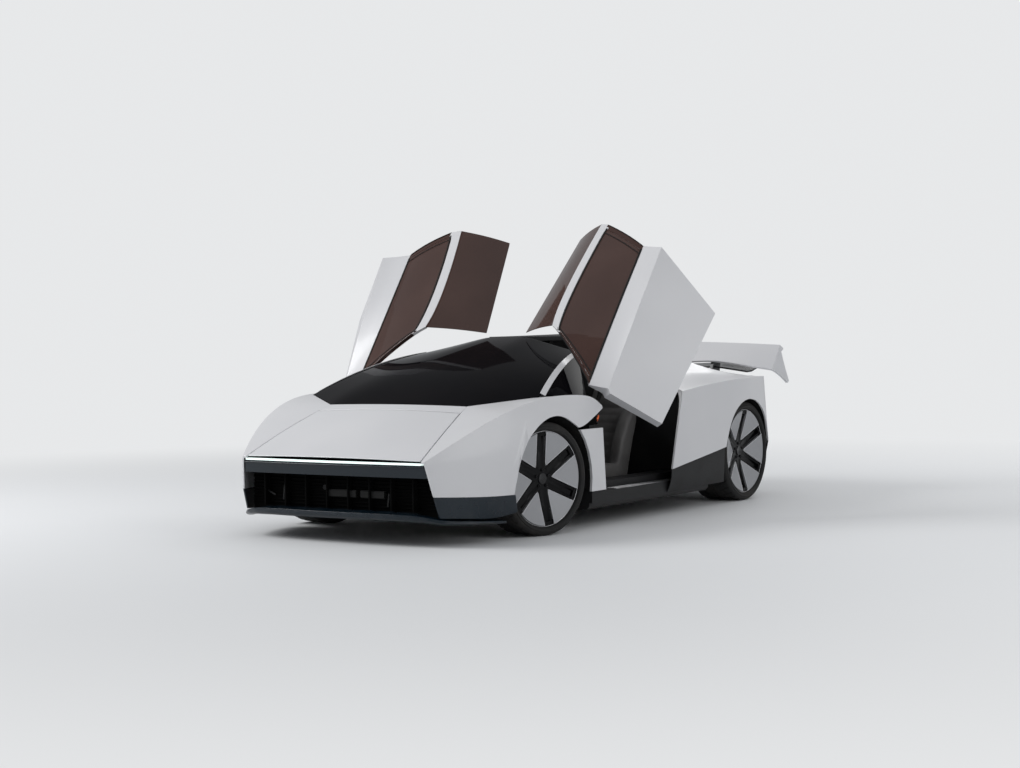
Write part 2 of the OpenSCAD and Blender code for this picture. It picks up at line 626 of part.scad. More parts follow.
// Wheels, made with the axle along Z and the outer face up
bead_in = 22;
bead_gap = 0.8;
flange_t = 7;
flange_h = 20;
shoulder_r = 26;
module tyre(r, w, rim_r) {
    bead = rim_r - flange_h + bead_gap;
    half = w / 2;
    seat_half = half - bead_in - flange_t - bead_gap;
    crown = r - shoulder_r;
    low = -half + 4 + shoulder_r;
    color("black") rotate_extrude() polygon(concat(
        [[bead, -seat_half], [rim_r + 1, -seat_half], [rim_r + 6, -half + 6], [mix(rim_r, r, 0.5), -half]],
        [for (a = [-90:15:0]) [crown + shoulder_r * cos(a), low + shoulder_r * sin(a)]],
        [for (a = [0:15:90]) [crown + shoulder_r * cos(a), shoulder_r * sin(a) - low]],
        [[mix(rim_r, r, 0.5), half], [rim_r + 6, half - 6], [rim_r + 1, seat_half], [bead, seat_half]]));
}
barrel_t = 9;
spoke_t = 34;
hub_r = 74;
disc_t = 28;
module rim(r, w, dish, turn) {
    seat = r - flange_h;
    half = w / 2 - bead_in;
    back = half - dish - spoke_t;
    color("black") difference() {
        union() {
            rotate_extrude() polygon([[seat - barrel_t, -half], [r, -half], [r, -half + flange_t],
                [seat, -half + flange_t], [seat, half - flange_t], [r, half - flange_t], [r, half],
                [seat - barrel_t, half]]);
            translate([0, 0, back]) linear_extrude(spoke_t) for (i = [0:5]) rotate(turn + 60 * i)
                translate([0, -spoke_w / 2]) square([seat - 4, spoke_w]);
            translate([0, 0, back - 24]) cylinder(h = spoke_t + 19, r = hub_r);
            translate([0, 0, back - 24 - disc_t]) cylinder(h = disc_t, r = disc_r);
        }
        translate([0, 0, back - 25 - disc_t]) cylinder(h = spoke_t + 18 + disc_t,
            r = spindle_r + running_gap);
    }
}
// Six light panels between the spokes, dished towards the hub
cover_t = 10;
module wheel_cover(r, w, dish, turn) {
    half = w / 2 - bead_in;
    color("lightgray") difference() {
        rotate_extrude() polygon([[60, half - 20 - dish], [r - 34, half - 12], [r - 30, half + seat_gap],
            [r - 2, half + seat_gap], [r - 6, half + 9], [r - 34, half + 4],
                [60, half - 20 - dish + cover_t]]);
        for (i = [0:5]) rotate(turn + 60 * i) translate([0, -spoke_w / 2, 0]) cube([r, spoke_w, w]);
        cylinder(h = w, r = hub_r + 4);
    }
}

// Places a wheel's parts at its axle, with the outer face outwards
kingpin_inset = 46;
module at_front(side) {
    translate([front_axle_x, side * (front_track_half - kingpin_inset), front_tyre_r]) rotate(-parked_steer)
        translate([0, side * kingpin_inset, 0]) rotate([-90 * side, 0, 0]) children();
}
module at_rear(side) {
    translate([-rear_axle_x, side * rear_track_half, rear_tyre_r]) rotate([-90 * side, 0, 0]) children();
}

// Knuckles: upright and stub axle, turning on the kingpins
kingpin_r = 12;
knuckle_h = 150;
knuckle_w = 90;
knuckle_t = 44;
pin_l = 60;
caliper_gap = 5.5;
caliper_wall = 11;
// Caliper round the disc's edge and the bracket that carries it from the upright's outer face
module caliper(back, mount_z) {
    disc_z = back - 24 - disc_t;
    low = disc_z - caliper_gap - 20;
    difference() {
        translate([0, 0, low]) rotate(150) rotate_extrude(angle = 60) translate([disc_r - 72, 0])
            square([88, back - 24 + caliper_gap + caliper_wall - low]);
        translate([0, 0, disc_z - caliper_gap]) cylinder(h = disc_t + 2 * caliper_gap,
            r = disc_r + caliper_gap);
    }
    translate([25 - disc_r, -32, mount_z - 22]) cube([disc_r - 30, 64, 20]);
    translate([25 - disc_r, -32, mount_z - 22]) cube([36, 64, low + 24 - mount_z]);
}
front_back = front_tyre_w / 2 - bead_in - front_dish - spoke_t;
rear_back = rear_tyre_w / 2 - bead_in - rear_dish - spoke_t;
module knuckle(side) {
    color("gray") at_front(side) difference() {
        union() {
            translate([-knuckle_w / 2, -knuckle_h, -kingpin_inset - knuckle_t / 2])
                cube([knuckle_w, 2 * knuckle_h, knuckle_t]);
            translate([0, 0, -kingpin_inset]) cylinder(h = front_back + 8 + kingpin_inset, r = spindle_r);
            caliper(front_back, knuckle_t / 2 - kingpin_inset);
        }
        for (end = [-knuckle_h - 1, knuckle_h + 1 - pin_l]) translate([0, end, -kingpin_inset])
            rotate([-90, 0, 0]) cylinder(h = pin_l, r = kingpin_r + running_gap);
    }
}
rail_y = 470;
arm_gap = 2;
arm_t = 24;
module suspension() {
    kingpin_y = front_track_half - kingpin_inset;
    color("gray") both_sides() {
        for (s = [-1, 1]) {
            arm_end = front_tyre_r + s * (knuckle_h + arm_gap);
            arm_z = s > 0 ? arm_end : arm_end - arm_t;
            translate([front_axle_x, kingpin_y, s > 0 ? arm_end - pin_l + 4 : arm_end - 1])
                cylinder(h = pin_l - 3, r = kingpin_r);
            translate([front_axle_x - 16, rail_y, arm_z]) cube([32, kingpin_y + 16 - rail_y, arm_t]);
            for (d = [-150, 134]) translate([front_axle_x + d, rail_y, arm_z]) cube([16, 40, arm_t]);
            translate([front_axle_x - 150, rail_y + 25, arm_z]) cube([300, 15, arm_t]);
            translate([-rear_axle_x - 20, rail_y, rear_tyre_r + s * 110 - 14])
                cube([40, rear_track_half - 100 - rail_y, 28]);
        }
        at_rear(1) {
            translate([-55, -150, -110]) cube([110, 300, 44]);
            translate([0, 0, -70]) cylinder(h = rear_back + 78, r = spindle_r);
            rotate(180) caliper(rear_back, -66);
        }
    }
}

// Floor, sills, bulkheads, hinge brackets and the boxed front and rear structure
tub_x0 = -760;
bulkhead_x = 790;
bulkhead_t = 60;
bulkhead_z = 740;
bulkhead_half_w = 955;
box_z = 540;
box_wall = 30;
hood_bar_z = box_z - 40;
sill = [[930, floor_z], [950, floor_z + 20], [950, 222], [862, 222], [862, 268], [700, 268],
    [700, floor_z + 40], [-1, floor_z + 40], [-1, floor_z]];
rear_wall = [[-1, 0], [900, 0], [900, 150], [890, 700], [750, 770], [530, 975], [140, 1040], [-1, 1040]];
module boxed(x0, x1, z0, z1) {
    difference() {
        translate([x0, -rail_y, z0]) cube([x1 - x0, 2 * rail_y, z1 - z0]);
        translate([x0 + box_wall, -rail_y + box_wall, z0 + box_wall])
            cube([x1 - x0 - 2 * box_wall, 2 * (rail_y - box_wall), z1 - z0]);
    }
}
// Closes the gap between the rear bulkhead and the front edge of the quarter panel
jamb_t = 8;
jamb_in = -panel_t - seat_gap;
module jamb() {
    edge = [quarter_bottom[0], mix(quarter_bottom[0], quarter_crease[0], 0.33),
        mix(quarter_bottom[0], quarter_crease[0], 0.67), quarter_crease[0], quarter_shoulder[0],
            quarter_top[0]];
    outer = [for (k = [0:5]) edge[k] + [[-2, jamb_in, 0], [-2, jamb_in, 0], [-2, jamb_in, 0],
        [-2, jamb_in, jamb_in], [-2, -panel_t, -panel_t - 8], [-2, -panel_t, -panel_t - 8]][k]];
    wall = [[895, 305], [893, 470], [891, 640], [850, 790], [740, 780], [530, 976 + floor_z - 1]];
    inner = [for (k = [0:5]) [-509, wall[k][0], wall[k][1]]];
    grid = [outer, inner];
    sheet(grid, shift(grid, [-jamb_t, -1, 0]));
}
module tub() {
    front_x = bulkhead_x + bulkhead_t;
    color([0.08, 0.08, 0.09]) {
        both_sides() {
            translate([tub_x0, 0, 0]) rotate([90, 0, 90]) linear_extrude(front_x - tub_x0) polygon(sill);
            translate([bulkhead_x, -1, floor_z + 40]) {
                difference() {
                    cube([bulkhead_t, bulkhead_half_w + 1, bulkhead_z - floor_z - 40]);
                    translate([-1, 732, bulkhead_z - floor_z - 76]) cube([17, 40, 40]);
                }
                cube([bulkhead_t, front_half_w - blade_t + 1 - seat_gap, 600 - floor_z - 40]);
            }
            translate([-550, 0, floor_z]) rotate([90, 0, 90]) linear_extrude(40) polygon(rear_wall);
            translate([hood_pivot.x - 12, neck_y + neck_t, hood_bar_z + 10])
                cube([24, 20, hood_pivot.z - hood_bar_z + 2]);
            translate([hood_pivot.x, neck_y + neck_t + 20, hood_pivot.z]) rotate([90, 0, 0])
                cylinder(h = 2 * neck_t + 12, r = hood_pin_r);
        }
        both_sides() jamb();
        translate([hood_pivot.x - 16, -rail_y + 10, hood_bar_z]) cube([32, 2 * rail_y - 20, 24]);
        translate([-512, -140, 1110]) cube([72, 280, 61.5]);
        translate([tub_x0, -110, floor_z + 39]) cube([bulkhead_x - tub_x0 + 1, 220, 190]);
        boxed(front_x - box_wall, grille_rear, floor_z + 24, box_z - 122);
        boxed(front_x - box_wall, 1640, floor_z + 24, box_z);
        boxed(-1880, tub_x0 + box_wall, floor_z + 60, 500);
    }
}
module drive_unit() {
    color("gray") translate([-rear_axle_x - 220, -260, floor_z + 90 + seat_gap]) cube([440, 520, 420]);
}

// Wheel arch liners
liner_t = 6;
liner_gap = 4;
liner_front_angles = concat(arch_angles, [150, 172, 190]);
liner_front_tuck = concat(arch_tuck + [8, 16, 16, 10, 4, 0, 0], [0, 0, 0]);
liner_rear_angles = concat([-12], rear_angles);
liner_rear_tuck = concat([0], rear_tuck + [0, 0, 0, 0, 0, 2, 5]);
function liner_row(centre, r, y_at, angles) = [for (k = [0:len(angles) - 1])
    [centre.x + r * cos(angles[k]), y_at[k], centre.y + r * sin(angles[k])]];
module liner(centre, r, half_w, tuck, angles) {
    inner_y = [for (d = tuck) rail_y + seat_gap];
    outer_y = [for (d = tuck) half_w - panel_t - 5 - d];
    skin = [liner_row(centre, r + liner_gap, inner_y, angles), liner_row(centre, r + liner_gap,
        outer_y, angles)];
    back = [liner_row(centre, r + liner_gap + liner_t, inner_y, angles),
        liner_row(centre, r + liner_gap + liner_t, outer_y, angles)];
    sheet(skin, back);
}
module arch_liners() {
    color("black") both_sides() {
        liner(front_arch, front_arch_r, front_half_w, liner_front_tuck, liner_front_angles);
        liner(rear_arch, rear_arch_r, rear_half_w, liner_rear_tuck, liner_rear_angles);
    }
}

// Interior
seat_lean = 20;
seat_half_w = 230;
bolster_w = 84;
module seat_slab(y0, y1, profile) {
    translate([0, y1, 0]) rotate([90, 0, 0]) linear_extrude(y1 - y0) polygon(profile);
}
module seat() {
    side_y = seat_half_w - bolster_w;
    translate([-200, 380, floor_z + 40 + seat_gap]) {
        seat_slab(-side_y, side_y, [[0, 0], [470, 0], [498, 60], [486, 150], [440, 166], [240, 150],
            [60, 128],
            [0, 128]]);
        for (y = [-seat_half_w, side_y]) seat_slab(y, y + bolster_w, [[0, 0], [460, 0], [480, 60],
            [470, 150],
            [410, 192], [240, 196], [60, 176], [0, 176]]);
        translate([-20, 0, 0]) rotate([0, -seat_lean, 0]) {
            seat_slab(-side_y, side_y, [[0, 0], [112, 0], [122, 180], [112, 330], [96, 520], [80, 560],
                [20, 560],
                [0, 500]]);
            for (y = [-seat_half_w, side_y]) seat_slab(y, y + bolster_w, [[0, 0], [112, 0], [168, 90],
                [176, 300],
                [150, 430], [96, 560], [30, 560], [0, 480]]);
            seat_slab(-130, 130, [[18, 550], [84, 550], [96, 640], [84, 716], [60, 724], [30, 716],
                [16, 640]]);
        }
    }
}
module seats() {
    color("dimgray") both_sides() seat();
}
wheel_tilt = 110;
module dashboard() {
    color("black") {
        translate([560, -640, 560]) cube([bulkhead_x - 560, 1280, 170]);
        translate([0, 0, 742]) linear_extrude(14) polygon([[560, 640], [900, 640], [960, 820], [1280, 840],
            [1510, 500], [1510, -500], [1280, -840], [960, -820], [900, -640], [560, -640]]);
        translate([600, -600, 729]) cube([170, 1200, 14]);
        translate([400, 380, 700]) rotate([0, wheel_tilt, 0]) {
            rotate_extrude() translate([168, 0]) circle(r = 15);
            cylinder(h = 200, r = 30);
            for (a = [90, 210, 330]) rotate(a) translate([0, -16, -5]) cube([168, 32, 10]);
        }
    }
}

tub();
suspension();
drive_unit();
splitter();
skirts();
front_fascia();
grille();
light_bar();
hood();
cowl_panel();
on_side(1) fender();  // fender_left
on_side(-1) fender();  // fender_right
side_blades();
windscreen();
roof_frame();
door_hinges();
engine_cover();
on_side(1) quarter_panel();  // quarter_panel_left
on_side(-1) quarter_panel();  // quarter_panel_right
wing();
wing_struts();
rear_fascia();
tail_lamp();
diffuser();
arch_liners();
at_front(1) tyre(front_tyre_r, front_tyre_w, front_rim_r);  // tyre_front_left
at_front(-1) tyre(front_tyre_r, front_tyre_w, front_rim_r);  // tyre_front_right
at_rear(1) tyre(rear_tyre_r, rear_tyre_w, rear_rim_r);  // tyre_rear_left
at_rear(-1) tyre(rear_tyre_r, rear_tyre_w, rear_rim_r);  // tyre_rear_right
at_front(1) rim(front_rim_r, front_tyre_w, front_dish, front_spoke_turn);  // rim_front_left
at_front(-1) rim(front_rim_r, front_tyre_w, front_dish, -front_spoke_turn);  // rim_front_right
at_rear(1) rim(rear_rim_r, rear_tyre_w, rear_dish, rear_spoke_turn);  // rim_rear_left
at_rear(-1) rim(rear_rim_r, rear_tyre_w, rear_dish, -rear_spoke_turn);  // rim_rear_right
at_front(1) wheel_cover(front_rim_r, front_tyre_w, front_dish, front_spoke_turn);  // wheel_cover_front_left
at_front(-1) wheel_cover(front_rim_r, front_tyre_w, front_dish, -front_spoke_turn);  // wheel_cover_front_right
at_rear(1) wheel_cover(rear_rim_r, rear_tyre_w, rear_dish, rear_spoke_turn);  // wheel_cover_rear_left
at_rear(-1) wheel_cover(rear_rim_r, rear_tyre_w, rear_dish, -rear_spoke_turn);  // wheel_cover_rear_right
knuckle(1);  // knuckle_left
knuckle(-1);  // knuckle_right
door_pose(1) door_shell();  // door_shell_left
door_pose(-1) door_shell();  // door_shell_right
door_pose(1) door_window();  // door_window_left
door_pose(-1) door_window();  // door_window_right
door_pose(1) door_roof();  // door_roof_left
door_pose(-1) door_roof();  // door_roof_right
seats();
dashboard();
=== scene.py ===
# %% [markdown]
# A two-seat wedge supercar with its doors swung up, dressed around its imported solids.
# The solids hold every size and joint. This file gives them finishes, smooths the pressed
# panels, and adds what is too fine for the solids: tyre tread, seams, trims and bolts.

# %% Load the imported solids
import json
import math

import bmesh
import bpy
import numpy as np
from mathutils import Matrix, Vector
from mathutils.bvhtree import BVHTree

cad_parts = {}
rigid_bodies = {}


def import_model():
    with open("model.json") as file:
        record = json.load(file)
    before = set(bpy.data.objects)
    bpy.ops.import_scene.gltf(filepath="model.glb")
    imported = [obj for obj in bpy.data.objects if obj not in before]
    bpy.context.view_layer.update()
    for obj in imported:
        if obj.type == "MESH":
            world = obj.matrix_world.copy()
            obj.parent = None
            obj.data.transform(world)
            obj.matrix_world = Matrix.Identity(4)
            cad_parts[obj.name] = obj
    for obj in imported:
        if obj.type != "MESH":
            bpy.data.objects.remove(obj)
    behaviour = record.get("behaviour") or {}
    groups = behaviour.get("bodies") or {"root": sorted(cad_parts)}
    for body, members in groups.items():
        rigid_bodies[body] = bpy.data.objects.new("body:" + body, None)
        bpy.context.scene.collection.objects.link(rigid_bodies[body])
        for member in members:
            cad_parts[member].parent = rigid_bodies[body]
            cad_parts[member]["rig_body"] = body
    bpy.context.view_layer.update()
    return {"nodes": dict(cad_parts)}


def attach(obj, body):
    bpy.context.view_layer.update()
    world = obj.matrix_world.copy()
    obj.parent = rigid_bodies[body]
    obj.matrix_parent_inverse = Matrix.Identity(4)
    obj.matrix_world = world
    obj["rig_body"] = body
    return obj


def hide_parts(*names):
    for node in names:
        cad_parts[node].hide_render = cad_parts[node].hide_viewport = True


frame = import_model()
scene = bpy.context.scene

# %% [markdown]
# The camera stands where the photographer stood. Its place and turn were worked out from
# the wheels, the nose and the roof, so the picture can be laid over the photograph. A
# camera looks along its own -Z, so its matrix is built from right, up and back.

# %% Camera
yaw, pitch, roll = (math.radians(a) for a in (213.361, -1.627, -0.706))
ahead = Vector((math.cos(yaw) * math.cos(pitch), math.sin(yaw) * math.cos(pitch), math.sin(pitch)))
right = Vector((math.sin(yaw), -math.cos(yaw), 0))
up = right.cross(ahead)
rolled_right = math.cos(roll) * right + math.sin(roll) * up
rolled_up = -math.sin(roll) * right + math.cos(roll) * up
camera = bpy.data.objects.new("camera", bpy.data.cameras.new("camera"))
scene.collection.objects.link(camera)
camera.data.lens, camera.data.sensor_width = 66.39, 36
camera.data.clip_end = 200
turn = Matrix((rolled_right, rolled_up, -ahead)).transposed()
camera.matrix_world = Matrix.Translation((10.937, 7.008, 1.246)) @ turn.to_4x4()
scene.camera = camera
print("camera looks along", tuple(round(v, 3) for v in ahead))

# %% [markdown]
# Shader maths reads like arithmetic here. A Wire is one output of a node. Adding,
# multiplying or subtracting wires makes the Math nodes, and a Finish is one material with
# a single method that makes any other node.

# %% Shader wires and finishes
class Wire:
    """One value output in a shader. Python's operators on it add Math nodes."""

    def __init__(self, finish, socket):
        self.finish, self.socket = finish, socket

    def math(self, operation, *others):
        return self.finish.node("ShaderNodeMath", {"operation": operation},
                                {i: v for i, v in enumerate((self, *others))})

    def __add__(self, other):
        return self.math("ADD", other)

    def __mul__(self, other):
        return self.math("MULTIPLY", other)

    def __sub__(self, other):
        return self.math("SUBTRACT", other)

    def __rsub__(self, other):
        return self.finish.node("ShaderNodeMath", {"operation": "SUBTRACT"}, {0: other, 1: self})

    __radd__, __rmul__ = __add__, __mul__

    def between(self, low, high):
        """0 below low, 1 above high, and smooth in between."""
        return self.finish.node("ShaderNodeMapRange", {"interpolation_type": "SMOOTHSTEP"},
                                {"Value": self, "From Min": low, "From Max": high})


class Finish:
    """One procedural material."""

    def __init__(self, name, **fixed):
        self.material = bpy.data.materials.new(name)
        self.material.use_nodes = True
        self.tree = self.material.node_tree
        self.shader = self.tree.nodes["Principled BSDF"]
        for socket, value in fixed.items():
            self.shader.inputs[socket.replace("_", " ")].default_value = value
        self.place = self.node("ShaderNodeTexCoord", out="Object")

    def node(self, kind, settings=None, inputs=None, out=0):
        """Makes a node, sets its settings (a ramp's stops too), then its values or links."""
        made = self.tree.nodes.new(kind)
        for key, value in (settings or {}).items():
            if key == "stops":
                for i, (at, colour) in enumerate(value):
                    stop = made.color_ramp.elements[i] if i < 2 else made.color_ramp.elements.new(at)
                    stop.position, stop.color = at, (*colour, 1)
            else:
                setattr(made, key, value)
        for key, value in (inputs or {}).items():
            if isinstance(value, Wire):
                self.tree.links.new(value.socket, made.inputs[key])
            else:
                made.inputs[key].default_value = value
        return Wire(self, made.outputs[out])

    def noise(self, scale, detail=3.0, where=None):
        return self.node("ShaderNodeTexNoise", None,
                         {"Vector": where or self.place, "Scale": scale, "Detail": detail})

    def stretched(self, *scale):
        return self.node("ShaderNodeMapping", None, {"Vector": self.place, "Scale": scale})

    def axis(self, index):
        return self.node("ShaderNodeSeparateXYZ", None, {"Vector": self.place}, out=index)

    def blend(self, amount, a, b):
        """Colour a where amount is 0 and colour b where it is 1."""
        inputs = {0: amount}
        inputs.update({slot: c if isinstance(c, Wire) else (*c, 1) for slot, c in ((6, a), (7, b))})
        return self.node("ShaderNodeMix", {"data_type": "RGBA"}, inputs, out=2)

    def link(self, socket, wire):
        self.tree.links.new(wire.socket, self.shader.inputs[socket])

    def bump(self, height, strength, distance):
        self.link("Normal", self.node("ShaderNodeBump", None,
                                      {"Height": height, "Strength": strength, "Distance": distance}))


# %% [markdown]
# The body is satin pearl paint. Up close such paint is not one colour: it has a very fine
# ripple, a slight drift in tone over each panel and a little dust low on the sills. All of
# that comes from noise on object coordinates, which is the car's own frame.

# %% Paint
def painted(name, colour, low_colour, roughness, coat, dusty, specular=0.5):
    f = Finish(name, Coat_Weight=coat, Coat_Roughness=0.12, Specular_IOR_Level=specular)
    drift = f.noise(1.3, 2.0)
    dust = (0.42 - f.axis(2)).between(0.0, 0.42) * f.noise(9.0, 5.0).between(0.35, 0.8)
    tone = f.blend(drift.between(0.3, 0.7), colour, low_colour)
    f.link("Base Color", f.blend(dust * dusty, tone, (0.33, 0.31, 0.29)))
    f.link("Roughness", f.noise(180.0, 2.0) * 0.06 + drift * 0.04 + dust * (0.6 * dusty) + (roughness - 0.05))
    f.bump(f.noise(420.0, 1.0), 0.06, 0.0006)
    return f.material


paint = painted("satin_pearl_paint", (0.70, 0.70, 0.715), (0.655, 0.657, 0.675), 0.36, 0.3, 0.3)
navy = painted("gloss_navy_paint", (0.004, 0.012, 0.020), (0.003, 0.009, 0.016), 0.24, 0.15, 0.05, 0.35)
print("paint made")

# %% [markdown]
# Dark trims, structure and rubber each get a base tone, a grain at the size the real one
# has, and wear or dust where it gathers. One recipe serves them all with other numbers.

# %% Plain grained finishes
def grained(name, colour, worn, roughness, scale, depth, metallic=0.0, coat=0.0, specular=0.5):
    """colour drifts to worn in patches; a fine grain of the given scale moves the surface."""
    f = Finish(name, Metallic=metallic, Coat_Weight=coat, Coat_Roughness=0.08, Specular_IOR_Level=specular)
    patches = f.noise(6.0, 6.0).between(0.42, 0.75)
    grain = f.noise(scale, 3.0)
    f.link("Base Color", f.blend(patches, colour, worn))
    f.link("Roughness", patches * 0.12 + grain * 0.12 + (roughness - 0.08))
    f.bump(grain, 0.35, depth)
    return f.material


black_trim = grained("gloss_black_trim", (0.008, 0.008, 0.009), (0.012, 0.012, 0.013), 0.24, 350, 0.0001,
                     coat=0.2, specular=0.35)
# Near-black with almost no gloss, darker than black plastic: partly the parts' own black, partly painted
# shade where they sit deep in the nose and the tail.
recess = grained("black_recess_painted_shade", (0.003, 0.003, 0.003), (0.005, 0.005, 0.005), 0.9, 500,
                 0.0004, specular=0.05)
structure = grained("carbon_structure", (0.012, 0.012, 0.013), (0.020, 0.020, 0.020), 0.55, 160,
                    0.0006, specular=0.3)
steel = grained("forged_steel", (0.35, 0.35, 0.36), (0.22, 0.21, 0.2), 0.42, 240, 0.0003, metallic=1.0)
bright = grained("machined_alloy", (0.82, 0.82, 0.84), (0.74, 0.74, 0.76), 0.28, 500, 0.0001, metallic=0.4)
copper = grained("copper_enamel", (0.42, 0.15, 0.055), (0.34, 0.115, 0.04), 0.35, 380, 0.0002,
                 metallic=0.6, coat=0.4)
casting = grained("cast_alloy", (0.32, 0.32, 0.33), (0.2, 0.2, 0.2), 0.5, 300, 0.0006, metallic=0.9)
liner = grained("arch_felt", (0.010, 0.010, 0.010), (0.020, 0.019, 0.018), 0.92, 500, 0.0012, specular=0.2)
rubber = grained("tyre_rubber", (0.014, 0.014, 0.014), (0.028, 0.026, 0.024), 0.72, 260, 0.0005, specular=0.3)
seal = grained("black_seal", (0.010, 0.010, 0.010), (0.018, 0.018, 0.017), 0.75, 420, 0.0003, specular=0.25)
rim_black = grained("gloss_black_rim", (0.0025, 0.0025, 0.003), (0.005, 0.005, 0.005), 0.22, 420,
                    0.0001, coat=0.05, specular=0.12)
dash = grained("dash_leather", (0.018, 0.017, 0.017), (0.026, 0.025, 0.024), 0.6, 420, 0.0008, specular=0.3)
satin_deck = grained("satin_black_deck", (0.012, 0.012, 0.013), (0.015, 0.015, 0.016), 0.50, 300,
                     0.0003, specular=0.25)
print("trims made")


# %% Grey wheel panels, brushed round the axle
def brushed_grey():
    f = Finish("satin_grey_wheel", Metallic=0.35)
    streaks = f.noise(14.0, 6.0, f.stretched(12.0, 1.0, 12.0))
    f.link("Base Color", f.blend(streaks, (0.33, 0.335, 0.35), (0.40, 0.405, 0.42)))
    f.link("Roughness", streaks * 0.2 + 0.3)
    f.bump(streaks, 0.1, 0.0003)
    return f.material


rim_grey = brushed_grey()


# %% [markdown]
# Door glass is tinted bronze through its thickness, and alpha carries the tint. The windscreen
# is near-black and lets almost nothing through, far past any tint: painted shade for the dark
# cabin behind it. A low roughness with a Fresnel edge comes from the shader itself.

# %% Glass
def glass(name, colour, film, alpha, specular):
    f = Finish(name, Alpha=alpha, Specular_IOR_Level=specular)
    streaks = f.noise(2.2, 5.0)
    f.link("Base Color", f.blend(streaks.between(0.3, 0.8), colour, film))
    f.link("Roughness", streaks * 0.05 + 0.02)
    return f.material


# Windscreen: near-black, 98.5% opaque and almost without reflection, as painted shade for the dark cabin seen
# through it.
windscreen_painted_shade = glass("windscreen_glass_painted_shade", (0.003, 0.003, 0.004), (0.006, 0.005, 0.006), 0.985, 0.01)
glass_bronze = glass("bronze_glass", (0.060, 0.030, 0.024), (0.078, 0.041, 0.033), 0.88, 0.3)
bronze_band = glass("bronze_band", (0.052, 0.027, 0.022), (0.066, 0.036, 0.030), 1.0, 0.3)


def lamp(name, colour, strength):
    f = Finish(name, Roughness=0.2, Emission_Strength=strength)
    f.shader.inputs["Emission Color"].default_value = (*colour, 1)
    ribs = f.node("ShaderNodeTexWave", {"bands_direction": "Y"}, {"Vector": f.place, "Scale": 60.0}, out=1)
    f.link("Base Color", f.blend(ribs * 0.5, colour, tuple(c * 0.6 for c in colour)))
    return f.material


lamp_white = lamp("lit_lens", (0.80, 0.93, 0.90), 0.9)
lamp_red = lamp("red_lens", (0.30, 0.012, 0.01), 0.15)
print("glass and lenses made")

# %% [markdown]
# Every solid gets its finish. The pressed panels are then smoothed: their solids are made
# of flat facets, so a copy is merged, its triangles joined to quads, its edges rounded by a
# small bevel and its faces subdivided, which gives the paint an unbroken highlight.

# %% Finishes on the solids
finish_of = {
    "tub": structure, "suspension": casting, "drive_unit": casting, "splitter": navy, "skirts": navy,
    "front_fascia": navy, "grille": recess, "light_bar": lamp_white, "hood": paint,
    "cowl_panel": paint, "side_blades": paint, "windscreen": windscreen_painted_shade, "roof_frame": satin_deck,
    "door_hinges": steel, "engine_cover": satin_deck, "wing": paint, "wing_struts": black_trim,
    "rear_fascia": black_trim, "tail_lamp": lamp_red, "diffuser": black_trim, "arch_liners": liner,
    "seats": dash, "dashboard": dash,
}
for side in ("left", "right"):
    finish_of.update({f"fender_{side}": paint, f"quarter_panel_{side}": paint, f"knuckle_{side}": casting,
                      f"door_shell_{side}": paint, f"door_window_{side}": glass_bronze,
                      f"door_roof_{side}": glass_bronze})
    for end in ("front", "rear"):
        finish_of.update({f"tyre_{end}_{side}": rubber, f"rim_{end}_{side}": rim_black,
                          f"wheel_cover_{end}_{side}": rim_grey})
for name, node in frame["nodes"].items():
    node.data.materials.clear()
    node.data.materials.append(finish_of[name])
print("finishes given:", len(finish_of))


# %% Smoothed copies of the pressed panels
def new_piece(name, mesh, body, material):
    """An object at the origin that rides on a body."""
    made = bpy.data.objects.new(name, mesh)
    scene.collection.objects.link(made)
    if material:
        mesh.materials.clear()
        mesh.materials.append(material)
    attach(made, body)
    return made


hinge_top = np.array([0.353, 0.150, 1.201])
hinge_line = np.array([0.5394, 0.7243, -0.4296])
hinge_line /= np.linalg.norm(hinge_line)


def swung(points, degrees):
    """Points of the left door turned about its hinge line k: cos a p + sin a k x p + (1 - cos a)(k . p) k."""
    a, p = math.radians(degrees), np.asarray(points, float) - hinge_top
    along = (p @ hinge_line)[..., None] * hinge_line
    return hinge_top + math.cos(a) * p + math.sin(a) * np.cross(hinge_line, p) + (1 - math.cos(a)) * along


def mirrored(points, side):
    """The same points on the car's left, or their mirror image on its right."""
    return np.asarray(points, float) * [1, 1 if side == "left" else -1, 1]


